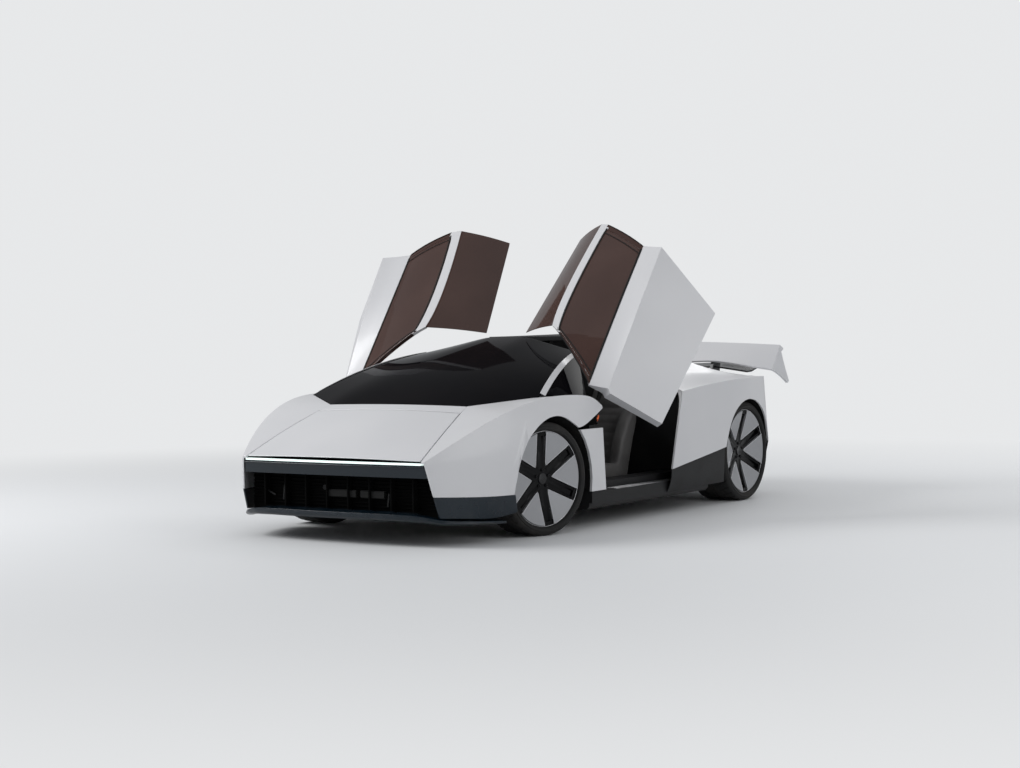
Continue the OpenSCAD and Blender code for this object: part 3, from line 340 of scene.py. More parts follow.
def smoothed(node, bevel=0.003, levels=2, sharp=26, others=(), hold=None, bore=None):
    """A merged copy of a solid with rounded edges and unbroken curves, standing for it.

    others holds pairs of a material and a test on face centres and normals that picks its faces.
    Round a joint's pin, hold = (x, z, reach) keeps every facet where it is, and only outer
    corners are ever rounded, so that no bore or shoulder closes on the part inside it. A
    bore = (point, axis, radius) is opened by 0.5 mm, so its facets clear those of the pin."""
    source = frame["nodes"][node]
    bm = bmesh.new()
    bm.from_mesh(source.data)
    bmesh.ops.remove_doubles(bm, verts=bm.verts, dist=0.00002)
    bmesh.ops.dissolve_degenerate(bm, dist=0.00002, edges=bm.edges)
    if bore:
        point, axis, radius = Vector(bore[0]), Vector(bore[1]), bore[2]
        for v in bm.verts:
            across = (v.co - point) - (v.co - point).dot(axis) * axis
            if 0.85 * radius < across.length < 1.08 * radius:
                v.co += across.normalized() * 0.0005
    limit = math.radians(sharp)
    bmesh.ops.join_triangles(bm, faces=bm.faces, angle_face_threshold=math.radians(12 if levels else 1),
                             angle_shape_threshold=math.radians(60))
    crease, weight = (bm.edges.layers.float.new(n) for n in ("crease_edge", "bevel_weight_edge"))
    for edge in bm.edges:
        edge.smooth = len(edge.link_faces) == 2 and edge.calc_face_angle(0) < limit
        middle = (edge.verts[0].co + edge.verts[1].co) / 2
        held = hold is not None and math.hypot(middle.x - hold[0], middle.z - hold[1]) < hold[2]
        edge[crease] = 1.0 if held else 0.0
        edge[weight] = 1.0 if not edge.smooth and edge.is_convex and not held else 0.0
    for face in bm.faces:
        face.smooth = True
    mesh = bpy.data.meshes.new(node + "_smooth")
    bm.to_mesh(mesh)
    bm.free()
    made = new_piece(node + "_panel", mesh, source["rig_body"], finish_of[node])
    count = len(mesh.polygons)
    centres, normals = np.empty(count * 3), np.empty(count * 3)
    mesh.polygons.foreach_get("center", centres)
    mesh.polygons.foreach_get("normal", normals)
    chosen = np.zeros(count, int)
    for index, (material, test) in enumerate(others, 1):
        mesh.materials.append(material)
        chosen[test(centres.reshape(-1, 3), normals.reshape(-1, 3))] = index
    mesh.polygons.foreach_set("material_index", chosen)
    if bevel:
        edge_round = made.modifiers.new("edges", "BEVEL")
        edge_round.width, edge_round.segments = bevel, 2
        edge_round.limit_method = "WEIGHT"
    if levels:
        fine = made.modifiers.new("fine", "SUBSURF")
        fine.levels = fine.render_levels = levels
    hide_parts(node)
    return made


panels = ["hood", "cowl_panel", "fender_left", "fender_right", "quarter_panel_left", "quarter_panel_right",
          "wing", "engine_cover", "windscreen", "splitter", "skirts", "front_fascia", "rear_fascia",
          "roof_frame"]
panels += [f"door_{part}_{side}" for part in ("window", "roof") for side in ("left", "right")]
for node in panels:
    if node == "hood":
        smoothed(node, hold=(1.5911, 0.7326, 0.15), bore=((1.5911, 0, 0.7326), (0, 1, 0), 0.0083))
    else:
        smoothed(node, levels=1 if node == "engine_cover" else 2)
print("panels smoothed:", len(panels))

# %% [markdown]
# One door solid holds four finishes: painted skin, black window posts, trimmed lining and
# the steel hook, finished black. Its faces are told apart with the door swung shut, where each of them
# has a simple place: near a post's line, facing inwards, or in the thin slab of the hook.

# %% Doors and hubs with several finishes
def near_line(p, a, b, reach, start=0.06):
    """True where a point is within reach of the line from a to b, past its first few hundredths."""
    a, b = np.array(a), np.array(b)
    t = (p - a) @ (b - a) / np.dot(b - a, b - a)
    nearest = a + np.clip(t, 0, 1)[:, None] * (b - a)
    return (t > start) & (t < 1.02) & (np.linalg.norm(p - nearest, axis=1) < reach)


def door_parts(side):
    """The tests for a door's posts, lining and hook, made with the door shut."""
    def shut(v):
        return swung(mirrored(v, side), -62)

    def posts(c, n):
        p = shut(c)
        return (near_line(p, (0.722, 0.888, 0.760), (0.402, 0.622, 1.078), 0.045)
                | near_line(p, (-0.378, 0.795, 0.903), (-0.496, 0.558, 1.152), 0.045))

    def lining(c, n):
        p, tip = shut(c), shut(c + n)
        return ((tip - p)[:, 1] < -0.45) & (p[:,
                                              2] < 0.90) & ~near_line(p, (0.402, 0.622, 1.078),
                                                                      (-0.496, 0.558, 1.152), 0.08)

    def hook(c, n):
        p = shut(c) - hinge_top
        along = p @ hinge_line
        radius = np.linalg.norm(p - along[:, None] * hinge_line, axis=1)
        return (np.abs(along - 0.868) < 0.0075) & (radius < 0.26)

    return [(bronze_band, posts), (dash, lining), (seal, hook)]


for side in ("left", "right"):
    smoothed(f"door_shell_{side}", others=door_parts(side))
print("doors dressed: 2")

# %% [markdown]
# Everything new is a surface on a grid of two parameters: an array of points with rows and
# columns. One helper turns any such grid into a mesh, closed round either way or not.

# %% Grids to meshes
def grid_mesh(name, points, round_rows=False, round_cols=False, flip=False):
    """points[i, j] -> a quad mesh; a round direction joins its last line to its first."""
    rows, cols = points.shape[:2]
    index = np.arange(rows * cols).reshape(rows, cols)
    if round_rows:
        index = np.vstack([index, index[:1]])
    if round_cols:
        index = np.hstack([index, index[:, :1]])
    quads = np.stack([index[:-1, :-1], index[:-1, 1:], index[1:, 1:], index[1:, :-1]], -1).reshape(-1, 4)
    if flip:
        quads = quads[:, ::-1]
    mesh = bpy.data.meshes.new(name)
    mesh.from_pydata(points.reshape(-1, 3).tolist(), [], quads.tolist())
    mesh.polygons.foreach_set("use_smooth", np.ones(len(quads), bool))
    return mesh


def joined(name, *meshes):
    """Several meshes as one, with doubles merged, open ends filled and faces turned outwards."""
    bm = bmesh.new()
    for mesh in meshes:
        bm.from_mesh(mesh)
    bmesh.ops.remove_doubles(bm, verts=bm.verts, dist=0.000001)
    bmesh.ops.holes_fill(bm, edges=[e for e in bm.edges if e.is_boundary], sides=0)
    bmesh.ops.recalc_face_normals(bm, faces=bm.faces)
    for edge in bm.edges:
        edge.smooth = len(edge.link_faces) == 2 and edge.calc_face_angle(0) < math.radians(35)
    for face in bm.faces:
        face.smooth = True
    out = bpy.data.meshes.new(name)
    bm.to_mesh(out)
    bm.free()
    return out


def unit(v):
    """Vectors of length one."""
    v = np.asarray(v, float)
    return v / np.maximum(np.linalg.norm(v, axis=-1, keepdims=True), 1e-12)


def swept(path, lift, section, scale=None, ring=False):
    """Grid of path + side * section's first number + lift * its second, where side = tangent x lift."""
    path, section = np.asarray(path, float), np.asarray(section, float)
    tangent = unit(np.roll(path, -1, 0) - np.roll(path, 1, 0) if ring else np.gradient(path, axis=0))
    lift = np.broadcast_to(np.asarray(lift, float), path.shape)
    lift = unit(lift - (lift * tangent).sum(-1, keepdims=True) * tangent)
    side = np.cross(tangent, lift)
    size = np.ones(len(path)) if scale is None else np.asarray(scale, float)
    place = section[None] * size[:, None, None]
    return path[:, None] + side[:, None] * place[..., :1] + lift[:, None] * place[..., 1:]


def bar(path, lift, section, scale=None, ring=False):
    """A closed bar of a closed section along a path."""
    return grid_mesh("bar", swept(path, lift, section, scale, ring), round_rows=ring, round_cols=True)


def oval(width, height, count=12):
    """A section of half width cos a and half height sin a."""
    a = np.linspace(0, 2 * math.pi, count, endpoint=False)
    return np.column_stack([width / 2 * np.cos(a), height / 2 * np.sin(a)])


def slab(width, height, chamfer):
    """A rectangle with its corners cut, standing on zero."""
    w, h, c = width / 2, height, chamfer
    return np.array([[-w, 0], [w, 0], [w, h - c], [w - c, h], [c - w, h], [-w, h - c]])


def copies(name, unit_mesh, places, axes, size):
    """One mesh of many small turned pieces, each set at a place with its Z along an axis."""
    co = np.empty(len(unit_mesh.vertices) * 3)
    unit_mesh.vertices.foreach_get("co", co)
    co = co.reshape(-1, 3) * size
    faces = [tuple(p.vertices) for p in unit_mesh.polygons]
    points, quads = [], []
    for place, axis in zip(np.asarray(places, float), unit(axes)):
        spare = np.array([0, 0, 1.0]) if abs(axis[2]) < 0.9 else np.array([1.0, 0, 0])
        x = unit(np.cross(spare, axis))
        y = np.cross(axis, x)
        quads += [tuple(v + len(points) * len(co) for v in f) for f in faces]
        points.append(place + co[:, :1] * x + co[:, 1:2] * y + co[:, 2:] * axis)
    mesh = bpy.data.meshes.new(name)
    mesh.from_pydata(np.concatenate(points).tolist(), [], quads)
    return joined(name, mesh)


def turned(profile, count=12):
    """A profile of (radius, height) turned round Z, closed at its ends."""
    a = np.linspace(0, 2 * math.pi, count, endpoint=False)[:, None]
    profile = np.array(profile, float)
    points = np.stack(np.broadcast_arrays(profile[:, 0] * np.cos(a), profile[:, 0] * np.sin(a),
                                          profile[:, 1]), -1)
    return joined("turned", grid_mesh("turned", points, round_rows=True))


# A socket-head bolt of unit radius: a six-sided socket would vanish at this size, so it is round
bolt_head = turned([(0.45, 0.45), (0.55, 0.95), (0.85, 1.0), (1.0, 0.8), (1.0, 0.0)], 10)
print("bolt head:", len(bolt_head.polygons), "faces")


# %% [markdown]
# Each wheel has a place and an axle direction, as in the solids: the front pair is turned
# 13 degrees to the car's right on kingpins 46 mm inboard of the tyre's middle.

# %% Wheel places
steer = math.radians(13)
wheels = {}
for side, s in (("left", 1), ("right", -1)):
    axle = np.array([math.sin(steer), math.cos(steer), 0]) * s
    wheels[f"front_{side}"] = (np.array([1.292, 0.780 * s, 0.346]) + 0.046 * axle, axle, 0.346, 0.245, 0.290)
    wheels[f"rear_{side}"] = (np.array([-1.343, 0.812 * s, 0.356]), np.array([0, s, 0.0]), 0.356,
                              0.305, 0.298)


def on_axle(wheel, radius, angle, out):
    """Points at a radius and angle round a wheel's axle, and a distance outwards along it."""
    centre, axle = wheels[wheel][:2]
    up_axis = np.array([0, 0, 1.0])
    along = np.cross(up_axis, axle)
    return (centre + (radius * np.cos(angle))[...,
                                              None] * along + (radius * np.sin(angle))[..., None] * up_axis
            + np.asarray(out)[..., None] * axle)


# %% [markdown]
# A sport tyre has three grooves round the tread and slanted sipes towards its shoulders.
# The tread is the profile turned round the axle, and the grooves are cut by lowering the
# radius where a smooth pulse of angle and width is on.

# %% Tyres
def pulse(x, half, soft):
    """1 within half of zero, falling smoothly to 0 over soft."""
    return np.clip((half + soft - np.abs(x)) / soft, 0, 1)


def tyre(wheel):
    """Radius = profile(width) - groove depth(angle, width), turned round the axle."""
    centre, axle, r, w, rim_r = wheels[wheel]
    half, crown = w / 2, r - 0.026
    turn = np.radians(np.linspace(90, 0, 9))
    across = np.linspace(half - 0.030, -half + 0.030, 65)
    wall = [(rim_r - 0.018, half - 0.026), (rim_r + 0.002, half - 0.0265), (rim_r + 0.004, half - 0.012),
            (rim_r + 0.007, half - 0.005), (rim_r + 0.009, half - 0.0035), (rim_r + 0.0105, half - 0.0015),
            (rim_r + 0.012, half - 0.0035), (rim_r * 0.7 + r * 0.3, half - 0.0026),
            (rim_r * 0.6 + r * 0.4, half - 0.0016),
            (rim_r * 0.5 + r * 0.5, half)]
    shoulder = [(crown + 0.026 * math.cos(a), half - 0.030 + 0.026 * math.sin(a)) for a in turn[:-1]]
    outer = wall + shoulder
    inner = [(rr, -zz) for rr, zz in outer][::-1]
    profile = np.array(outer + [(r, z) for z in across] + inner)
    count = 432
    angle = np.linspace(0, 2 * math.pi, count, endpoint=False)[:, None]
    radius, width = np.broadcast_arrays(profile[None, :, 0], profile[None, :, 1])
    radius, width = np.repeat(radius, count, 0), np.repeat(width, count, 0)
    tread = (radius > r - 0.004)
    cut = np.zeros_like(radius)
    for at in (-0.26, 0.0, 0.26):
        cut = np.maximum(cut, pulse(width - at * w, 0.0045, 0.0022))
    phase = (angle * 36 / (2 * math.pi) + np.abs(width) * 9.0) % 1.0
    sipes = pulse(phase - 0.5, 0.045, 0.03) * (np.abs(width) > 0.17 * w) * (np.abs(width) < 0.46 * w)
    cut = np.maximum(cut, sipes * 0.85)
    radius = radius - 0.0065 * cut * tread
    points = on_axle(wheel, radius, np.broadcast_to(angle, radius.shape), width)
    body = f"wheel_{wheel}"
    made = new_piece(f"tyre_{wheel}_tread",
                     joined("tread", grid_mesh("tread", points, round_rows=True, round_cols=True)),
                     body, rubber)
    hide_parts(f"tyre_{wheel}")


for wheel in wheels:
    tyre(wheel)
print("tyres:", len(wheels))

# %% [markdown]
# The rim's six spokes are gloss black channels, deep at the hub and rising to the rim's
# edge. Between them sit light grey panels, and a thin machined line runs round each panel.
# A wheel's own plane has x along the car and y up, so each line is first drawn flat there,
# and the height over the dish is worked out from the distance to the axle.

# %% Spokes, machined lines and hubs
dish = {"front": 0.022, "rear": 0.046}
parked_turn = {"front": 36, "rear": 30}


def on_face(wheel, x, y, out):
    """Points at x along the wheel and y up from its axle, and out along the axle."""
    x, y = np.broadcast_arrays(np.asarray(x, float), np.asarray(y, float))
    return on_axle(wheel, np.hypot(x, y), np.arctan2(y, x), np.broadcast_to(out, x.shape))


def spoke_angles(wheel):
    """Directions of the six spokes in the wheel's plane, in radians."""
    end, side = wheel.split("_")
    first = parked_turn[end] if side == "left" else -parked_turn[end]
    return np.radians([first + 60 * k for k in range(6)])


def spokes(wheel):
    """Channel sections along each spoke; their height rises as the square of the radius."""
    end = wheel.split("_")[0]
    r, w, rim_r = wheels[wheel][2:]
    half = w / 2 - 0.022
    t = np.linspace(0, 1, 9)
    radius = 0.060 + t * (rim_r - 0.0315 - 0.060)
    base = half - dish[end]
    top = base + 0.002 + t ** 2 * (half - 0.003 - base - 0.002)
    meshes = []
    for angle in spoke_angles(wheel):
        section = np.array([[-0.0375, 0], [-0.0375, 0.7], [-0.034, 1], [-0.020, 1], [-0.015, 0.55],
                            [0.015, 0.55],
                            [0.020, 1], [0.034, 1], [0.0375, 0.7], [0.0375, 0]])
        along, across = radius[:, None], section[None, :, 0]
        x = along * math.cos(angle) - across * math.sin(angle)
        y = along * math.sin(angle) + across * math.cos(angle)
        out = (base - 0.001) + section[None, :, 1] * (top[:, None] - base + 0.001)
        meshes.append(grid_mesh("spoke", on_face(wheel, x, y, out), round_cols=True))
    made = new_piece(f"spokes_{wheel}", joined("spokes", *meshes), f"wheel_{wheel}", rim_black)


def panel_lines(wheel):
    """A thin raised line along both sides of each panel, 41.5 mm to each side of a spoke's middle."""
    end = wheel.split("_")[0]
    r, w, rim_r = wheels[wheel][2:]
    half = w / 2 - 0.022
    axle = wheels[wheel][1]
    meshes = []
    along = np.linspace(0.082, rim_r - 0.008, 12)
    height = np.interp(np.hypot(along, 0.0415), [0.060, rim_r - 0.034, rim_r - 0.006],
                       [half - 0.010 - dish[end], half + 0.004, half + 0.009])
    for angle in spoke_angles(wheel):
        for s in (-1, 1):
            x = along * math.cos(angle) - s * 0.0415 * math.sin(angle)
            y = along * math.sin(angle) + s * 0.0415 * math.cos(angle)
            meshes.append(bar(on_face(wheel, x, y, height), axle, slab(0.0026, 0.0014, 0.0005)))
    a = np.linspace(0, 2 * math.pi, 120, endpoint=False)
    lip = on_axle(wheel, np.full(120, rim_r - 0.0005), a, np.full(120, half + 0.0005))
    meshes.append(bar(lip, axle, oval(0.003, 0.003, 8), ring=True))
    made = new_piece(f"machined_lines_{wheel}", joined("lines", *meshes), f"wheel_{wheel}", bright)


def hub(wheel):
    """A dished cap turned round the axle, with five nuts 56 mm from the middle."""
    end = wheel.split("_")[0]
    centre, axle, r, w, rim_r = wheels[wheel]
    base = w / 2 - 0.022 - dish[end] - 0.005
    cap = turned([(0.0005, 0.009), (0.016, 0.0085), (0.026, 0.0115), (0.031, 0.012), (0.034, 0.010),
                  (0.0345, 0.0)], 48)
    nut = turned([(0.5, 0.7), (0.62, 1.3), (0.86, 1.35), (1.0, 1.15), (1.0, 0.0)], 6)
    a = np.radians(np.arange(5) * 72 + 90)
    places = on_axle(wheel, np.full(5, 0.053), a, np.full(5, base))
    middle = on_axle(wheel, np.zeros(1), np.zeros(1), np.full(1, base))
    mesh = joined("hub", copies("cap", cap, middle, [axle], 1.0),
                  copies("nuts", nut, places, [axle] * 5, 0.0105))
    made = new_piece(f"hub_{wheel}", mesh, f"wheel_{wheel}", black_trim)


for wheel in wheels:
    spokes(wheel)
    panel_lines(wheel)
    hub(wheel)
print("spokes, lines and hubs:", len(wheels))


# %% Brake calipers and discs
def around(wheel, low_radius, high_radius):
    """A test for faces between two radii of a wheel's axle and near its middle."""
    centre, axle = wheels[wheel][:2]

    def test(c, n):
        out = (c - centre) @ axle
        radius = np.linalg.norm(c - centre - out[:, None] * axle, axis=1)
        return (radius > low_radius) & (radius < high_radius) & (np.abs(out) < 0.05)
    return test


for side in ("left", "right"):
    smoothed(f"knuckle_{side}", bevel=0.002, levels=0,
             others=[(copper, around(f"front_{side}", 0.110, 0.215))])
    for end in ("front", "rear"):
        centre, axle = wheels[f"{end}_{side}"][:2]
        smoothed(f"rim_{end}_{side}", bevel=0.0015, levels=0,
                 others=[(steel, around(f"{end}_{side}", 0.078, 0.195))],
                 bore=(centre, axle, 0.0303))
smoothed("suspension", bevel=0.002, levels=0,
         others=[(copper, around(f"rear_{side}", 0.110, 0.215)) for side in ("left", "right")])
print("calipers and discs dressed")

# %% [markdown]
# The side glass sits in black seals, and a fine line shows where the glass passes over its
# posts. The window is a surface of two numbers, t along the door and s from the shoulder up
# to the roof rail, so each seal is a line of that surface with a low bar swept along it.

# %% Seals round the door glass
def mix(a, b, t):
    """a + (b - a) t, for points and for whole rows of points."""
    a, b, t = np.asarray(a, float), np.asarray(b, float), np.asarray(t, float)
    return a + (b - a) * t[..., None]


def curve(points, t):
    """The Bezier curve of three or four points: repeated mixing of neighbours."""
    rows = [np.broadcast_to(np.array(p, float), (len(t), 3)) for p in points]
    while len(rows) > 1:
        rows = [mix(a, b, t) for a, b in zip(rows, rows[1:])]
    return rows[0]


def window_point(t, s):
    """mix(shoulder(t), rail(t), s) with a bulge of 72 mm * s (1 - s) outwards."""
    t, s = (np.broadcast_to(v, np.broadcast(t, s).shape).astype(float) for v in (t, s))
    shoulder = curve([(0.722, 0.888, 0.760), (0.172, 0.8415, 0.8395), (-0.378, 0.795, 0.903)], t)
    rail = curve([(0.402, 0.622, 1.078), (0.250, 0.570, 1.122), (-0.150, 0.548, 1.142),
                  (-0.496, 0.558, 1.152)], t)
    return mix(shoulder, rail, s) + np.array([0, 0.072, 0]) * (s * (1 - s))[:, None]


outwards = np.array([0, 0.77, 0.64])


def on_door(side, points):
    """Closed-door points where the open door has them."""
    return mirrored(swung(points, 62), side)


def door_seals(side):
    ends = np.linspace(0.03, 0.97, 25)
    lines = [(window_point(ends, 0.972), 0.010, 0.003), (window_point(ends, 0.022), 0.012, 0.003),
             (window_point(0.064, ends), 0.006, 0.0016), (window_point(0.936, ends), 0.006, 0.0016),
             (window_point(0.003, ends), 0.006, 0.003), (window_point(0.997, ends), 0.006, 0.003)]
    meshes = []
    for line, width, height in lines:
        path = on_door(side, line)
        lift = on_door(side, line + outwards) - path
        meshes.append(bar(path, lift, slab(width, height, height * 0.4)))
        meshes.append(bar(path - lift * 0.0095, -lift, slab(width, height, height * 0.4)))
    return new_piece(f"window_seals_{side}", joined("seals", *meshes), f"door_{side}", seal)


for side in ("left", "right"):
    door_seals(side)
print("door seals: 2")

# %% [markdown]
# Each windscreen pillar wears a painted strip, 37 mm wide, which runs from the fender up to
# the roof. It follows the glass edge: a straight line with a bulge of 42 mm * 4 t (1 - t).

# %% Painted pillar strips
def pillar_line(t):
    """The pillar's middle from foot to header, a line with the windscreen's bulge."""
    line = mix((1.313, 0.882, 0.841), (0.402, 0.602, 1.100), t)
    line[:, 2] += 0.042 * 4 * t * (1 - t)
    return line + mix((-0.017, 0.004, -0.004), (0.004, 0.007, -0.005), t)


def pillar_strip(side):
    t = np.linspace(0.035, 0.985, 30)
    path = mirrored(pillar_line(t), side) + [0, 0, 0.0015]
    lift = mirrored(np.array([-0.10, 0.45, 0.88]), side)
    made = new_piece(f"pillar_strip_{side}",
                     joined("strip", bar(path, lift, slab(0.037, 0.0035, 0.0012))), "body", paint)


for side in ("left", "right"):
    pillar_strip(side)
print("pillar strips: 2")

# %% [markdown]
# The nose is a dark recess between the upper panel and the splitter. Thin blades cross it,
# with a range sensor and a camera behind them. The splitter's blade carries a deeper chin
# below its lip, rounded like a wing's leading edge.

# %% Nose details
def nose_line(x, half_w, z, count=41):
    """x + 18 mm * (1 - s s) across the width, the bow of the nose."""
    s = np.linspace(-1, 1, count)
    return np.column_stack([x + 0.018 * (1 - s * s), half_w * s, np.full(count, z)])


def nose_parts():
    blades = []
    for z in np.arange(0.218, 0.392, 0.0215):
        blade = nose_line(2.119, 0.688, z)
        blades.append(bar(blade, (0, 0, 1),
                          [(0.0, -0.003), (0.012, -0.0045), (0.016, -0.001), (0.012, 0.002), (0.0, 0.003)]))
    new_piece("nose_blades", joined("blades", *blades), "body", recess)

    low_lip = nose_line(2.2255, 0.676, 0.4655)
    lip = bar(low_lip, (0, 0, 1), oval(0.010, 0.008, 10))
    new_piece("fascia_lip", joined("lip", lip), "body", navy)

    sensor = [bar([(2.132, y0, 0.290), (2.132, y1, 0.290)], (1, 0, 0), slab(0.046, 0.034, 0.006))
              for y0, y1 in ((-0.075, 0.130), (0.165, 0.340))]
    new_piece("range_sensors", joined("sensors", *sensor), "body", seal)
    lens = turned([(0.004, 0.010), (0.009, 0.009), (0.011, 0.013), (0.014, 0.013), (0.016, 0.009),
                   (0.017, 0.0)], 24)
    camera_eye = copies("eye", lens, [(2.148, -0.107, 0.3225)], [(1, 0, 0)], 1.0)
    struts = [bar([(2.138, y, z0), (2.138, y + 0.010, z1)], (1, 0, 0), slab(0.012, 0.016, 0.003))
              for y, z0, z1 in ((-0.436, 0.236, 0.330), (0.356, 0.222, 0.300))]
    stay = bar([(2.145, -0.585, 0.300), (2.145, -0.50, 0.262)], (1, 0, 0), slab(0.009, 0.010, 0.002))
    new_piece("nose_hardware", joined("hardware", camera_eye, *struts, stay), "body",
                      structure)


nose_parts()


def chin():
    """The lip line of the splitter, with a rounded chin below."""
    half = [(2.262, 0, 190), (2.257, 0.250, 190), (2.242, 0.480, 190), (2.218, 0.610, 186),
            (2.190, 0.690, 172),
            (2.150, 0.745, 156), (2.070, 0.795, 148), (1.960, 0.845, 141), (1.840, 0.885, 134),
            (1.735, 0.915, 128)]
    half = np.array(half) * [1, 1, 0.001]
    line = np.concatenate([half[:0:-1] * [1, -1, 1], half])
    lengths = np.concatenate([[0], np.cumsum(np.linalg.norm(np.diff(line, axis=0), axis=1))])
    at = np.linspace(0, lengths[-1], 121)
    line = np.column_stack([np.interp(at, lengths, line[:, k]) for k in range(3)])
    inwards = unit(np.column_stack([-np.ones(121), np.zeros(121), np.zeros(121)]) - line * [0, 0.9, 0])
    depth = np.interp(np.abs(line[:, 1]), [0, 0.60, 0.72, 0.92], [0.040, 0.040, 0.028, 0.014])
    section = np.array([(0.010, 0.0), (0.001, -0.15), (0.0, -0.40), (0.006, -0.72), (0.022, -0.95),
                        (0.045, -1.0),
                        (0.060, -0.85), (0.060, -0.2), (0.040, 0.0)])
    points = line[:, None] + inwards[:, None] * section[None, :, :1]
    points[..., 2] += -0.004 + depth[:, None] * section[None, :, 1]
    made = new_piece("splitter_chin", joined("chin", grid_mesh("chin", points, round_cols=True)),
                     "body", navy)


chin()


def nose_sill():
    """Closes the gap under the recess down to the blade: a strip whose lower edge follows the blade."""
    y = np.linspace(-0.70, 0.70, 57)
    low = np.interp(np.abs(y), [0, 0.43, 0.53, 0.60, 0.70], [0.196, 0.196, 0.190, 0.180, 0.163])
    x = 2.120 + 0.018 * (1 - (y / 0.70) ** 2)
    rows = [np.column_stack([x - back, y, z]) for back, z in
            ((0, low), (0, 0.6 * low + 0.4 * 0.207), (0.002, np.full(57, 0.207)),
             (0.008, np.full(57, 0.207)), (0.008, low))]
    strip = grid_mesh("sill", np.stack(rows, 1), round_cols=True)
    new_piece("nose_sill", joined("sill", strip), "body", recess)


nose_sill()

amber = lamp("amber_lens", (0.62, 0.11, 0.02), 0.25)


def marker_lamps():
    """A slanted oval lens in each air outlet, on the line from (0.758, 0.672) to (0.742, 0.706)."""
    for side in ("left", "right"):
        t = np.linspace(0, 1, 9)
        path = mirrored(np.column_stack([0.760 - 0.022 * t, np.full(9, 0.9592), 0.671 + 0.036 * t]), side)
        lens = bar(path, mirrored((0, 1, 0), side), oval(0.015, 0.010, 12),
                   scale=0.3 + 0.7 * np.sin(math.pi * (0.08 + 0.84 * t)))
        new_piece(f"marker_lamp_{side}", joined("lens", lens), "body", amber)


marker_lamps()
print("nose and marker pieces made")

# %% [markdown]
# The seats are padded leather. One closed form is built from the side profiles, a little
# smaller than the seat. A cloth simulation then blows it up against seams that are held
# down, and the movement is capped, so the pads crown between their sewn channels. The
# right seat is the left one's mirror image.

# %% Seat form
seat_place = np.array([-0.200, 0.380, 0.1583])
squab = [(0.003, 0.0), (0.467, 0.0), (0.492, 0.060), (0.480, 0.146), (0.440, 0.160), (0.240, 0.144),
         (0.060, 0.123), (0.003, 0.123)]
squab_side = [(0.003, 0.0), (0.457, 0.0), (0.474, 0.060), (0.464, 0.146), (0.408, 0.186),
              (0.240, 0.190), (0.062, 0.171), (0.003, 0.171)]
rest = [(0.004, 0.004), (0.107, 0.004), (0.117, 0.180), (0.107, 0.330), (0.092, 0.516),
        (0.077, 0.554), (0.023, 0.554), (0.004, 0.498)]
rest_side = [(0.004, 0.004), (0.107, 0.004), (0.162, 0.090), (0.170, 0.298), (0.145, 0.426),
             (0.093, 0.554), (0.033, 0.554), (0.004, 0.478)]
head = [(0.022, 0.545), (0.080, 0.545), (0.091, 0.640), (0.080, 0.711), (0.060, 0.719),
        (0.033, 0.711), (0.020, 0.640)]


def leaned(points):
    """The back's own (x, z) leant 20 degrees rearwards and set 20 mm behind the squab."""
    x, y, z = np.moveaxis(np.asarray(points, float), -1, 0)
    a = math.radians(20)
    return np.stack([x * math.cos(a) - z * math.sin(a) - 0.020, y, x * math.sin(a) + z * math.cos(a)], -1)


def prism(profile, low, high, leant=False):
    """A side profile made solid from one width to another."""
    profile = np.array(profile)
    points = np.stack([np.column_stack([profile[:, 0], np.full(len(profile), y),
                                        profile[:, 1]]) for y in (low, high)])
    return joined("prism", grid_mesh("prism", leaned(points) if leant else points, round_cols=True))


def seat_form():
    parts = [prism(squab, -0.15, 0.15), prism(rest, -0.15, 0.15, True), prism(head, -0.126, 0.126, True)]
    for low, high in ((0.146, 0.226), (-0.226, -0.146)):
        parts += [prism(squab_side, low, high), prism(rest_side, low, high, True)]
    form = new_piece("seat_left", joined("seat_left", *parts), "body", None)
    voxels = form.modifiers.new("voxels", "REMESH")
    voxels.mode, voxels.voxel_size, voxels.use_smooth_shade = "VOXEL", 0.0115, True
    soft = form.modifiers.new("soft", "SMOOTH")
    soft.factor, soft.iterations = 0.5, 3
    mesh = bpy.data.meshes.new_from_object(form.evaluated_get(bpy.context.evaluated_depsgraph_get()))
    form.modifiers.clear()
    form.data = mesh
    return form


def seams(points):
    """How near each point is to a seam, in metres: the bolster feet and the channels between them."""
    a = math.radians(20)
    x, y, z = points.T
    up = -(x + 0.020) * math.sin(a) + z * math.cos(a)
    out = (x + 0.020) * math.cos(a) + z * math.sin(a)
    on_back = (out < 0.20) & (up > 0.19)
    feet = np.abs(np.abs(y) - 0.149)
    middle = np.abs(y) < 0.149
    back_lines = np.min([np.abs(up - at) for at in (0.235, 0.300, 0.365, 0.430, 0.495)], axis=0)
    squab_lines = np.min([np.abs(x - at) for at in (0.205, 0.270, 0.335, 0.400)], axis=0)
    top = z > 0.09
    lines = np.where(on_back & (out > 0.06) & (up < 0.53), back_lines,
                     np.where(~on_back & top, squab_lines, 1.0))
    feet = np.where((on_back & (up < 0.545)) | (~on_back & top), feet, 1.0)
    neck = np.where(on_back & (np.abs(up - 0.552) < 0.02), np.abs(up - 0.552), 1.0)
    return np.minimum(np.minimum(feet, neck), np.where(middle, lines, 1.0))


seat = seat_form()
print("seat form:", len(seat.data.vertices), "points")


# %% Blow up the seat's pads
def coordinates(mesh):
    co = np.empty(len(mesh.vertices) * 3)
    mesh.vertices.foreach_get("co", co)
    return co.reshape(-1, 3)


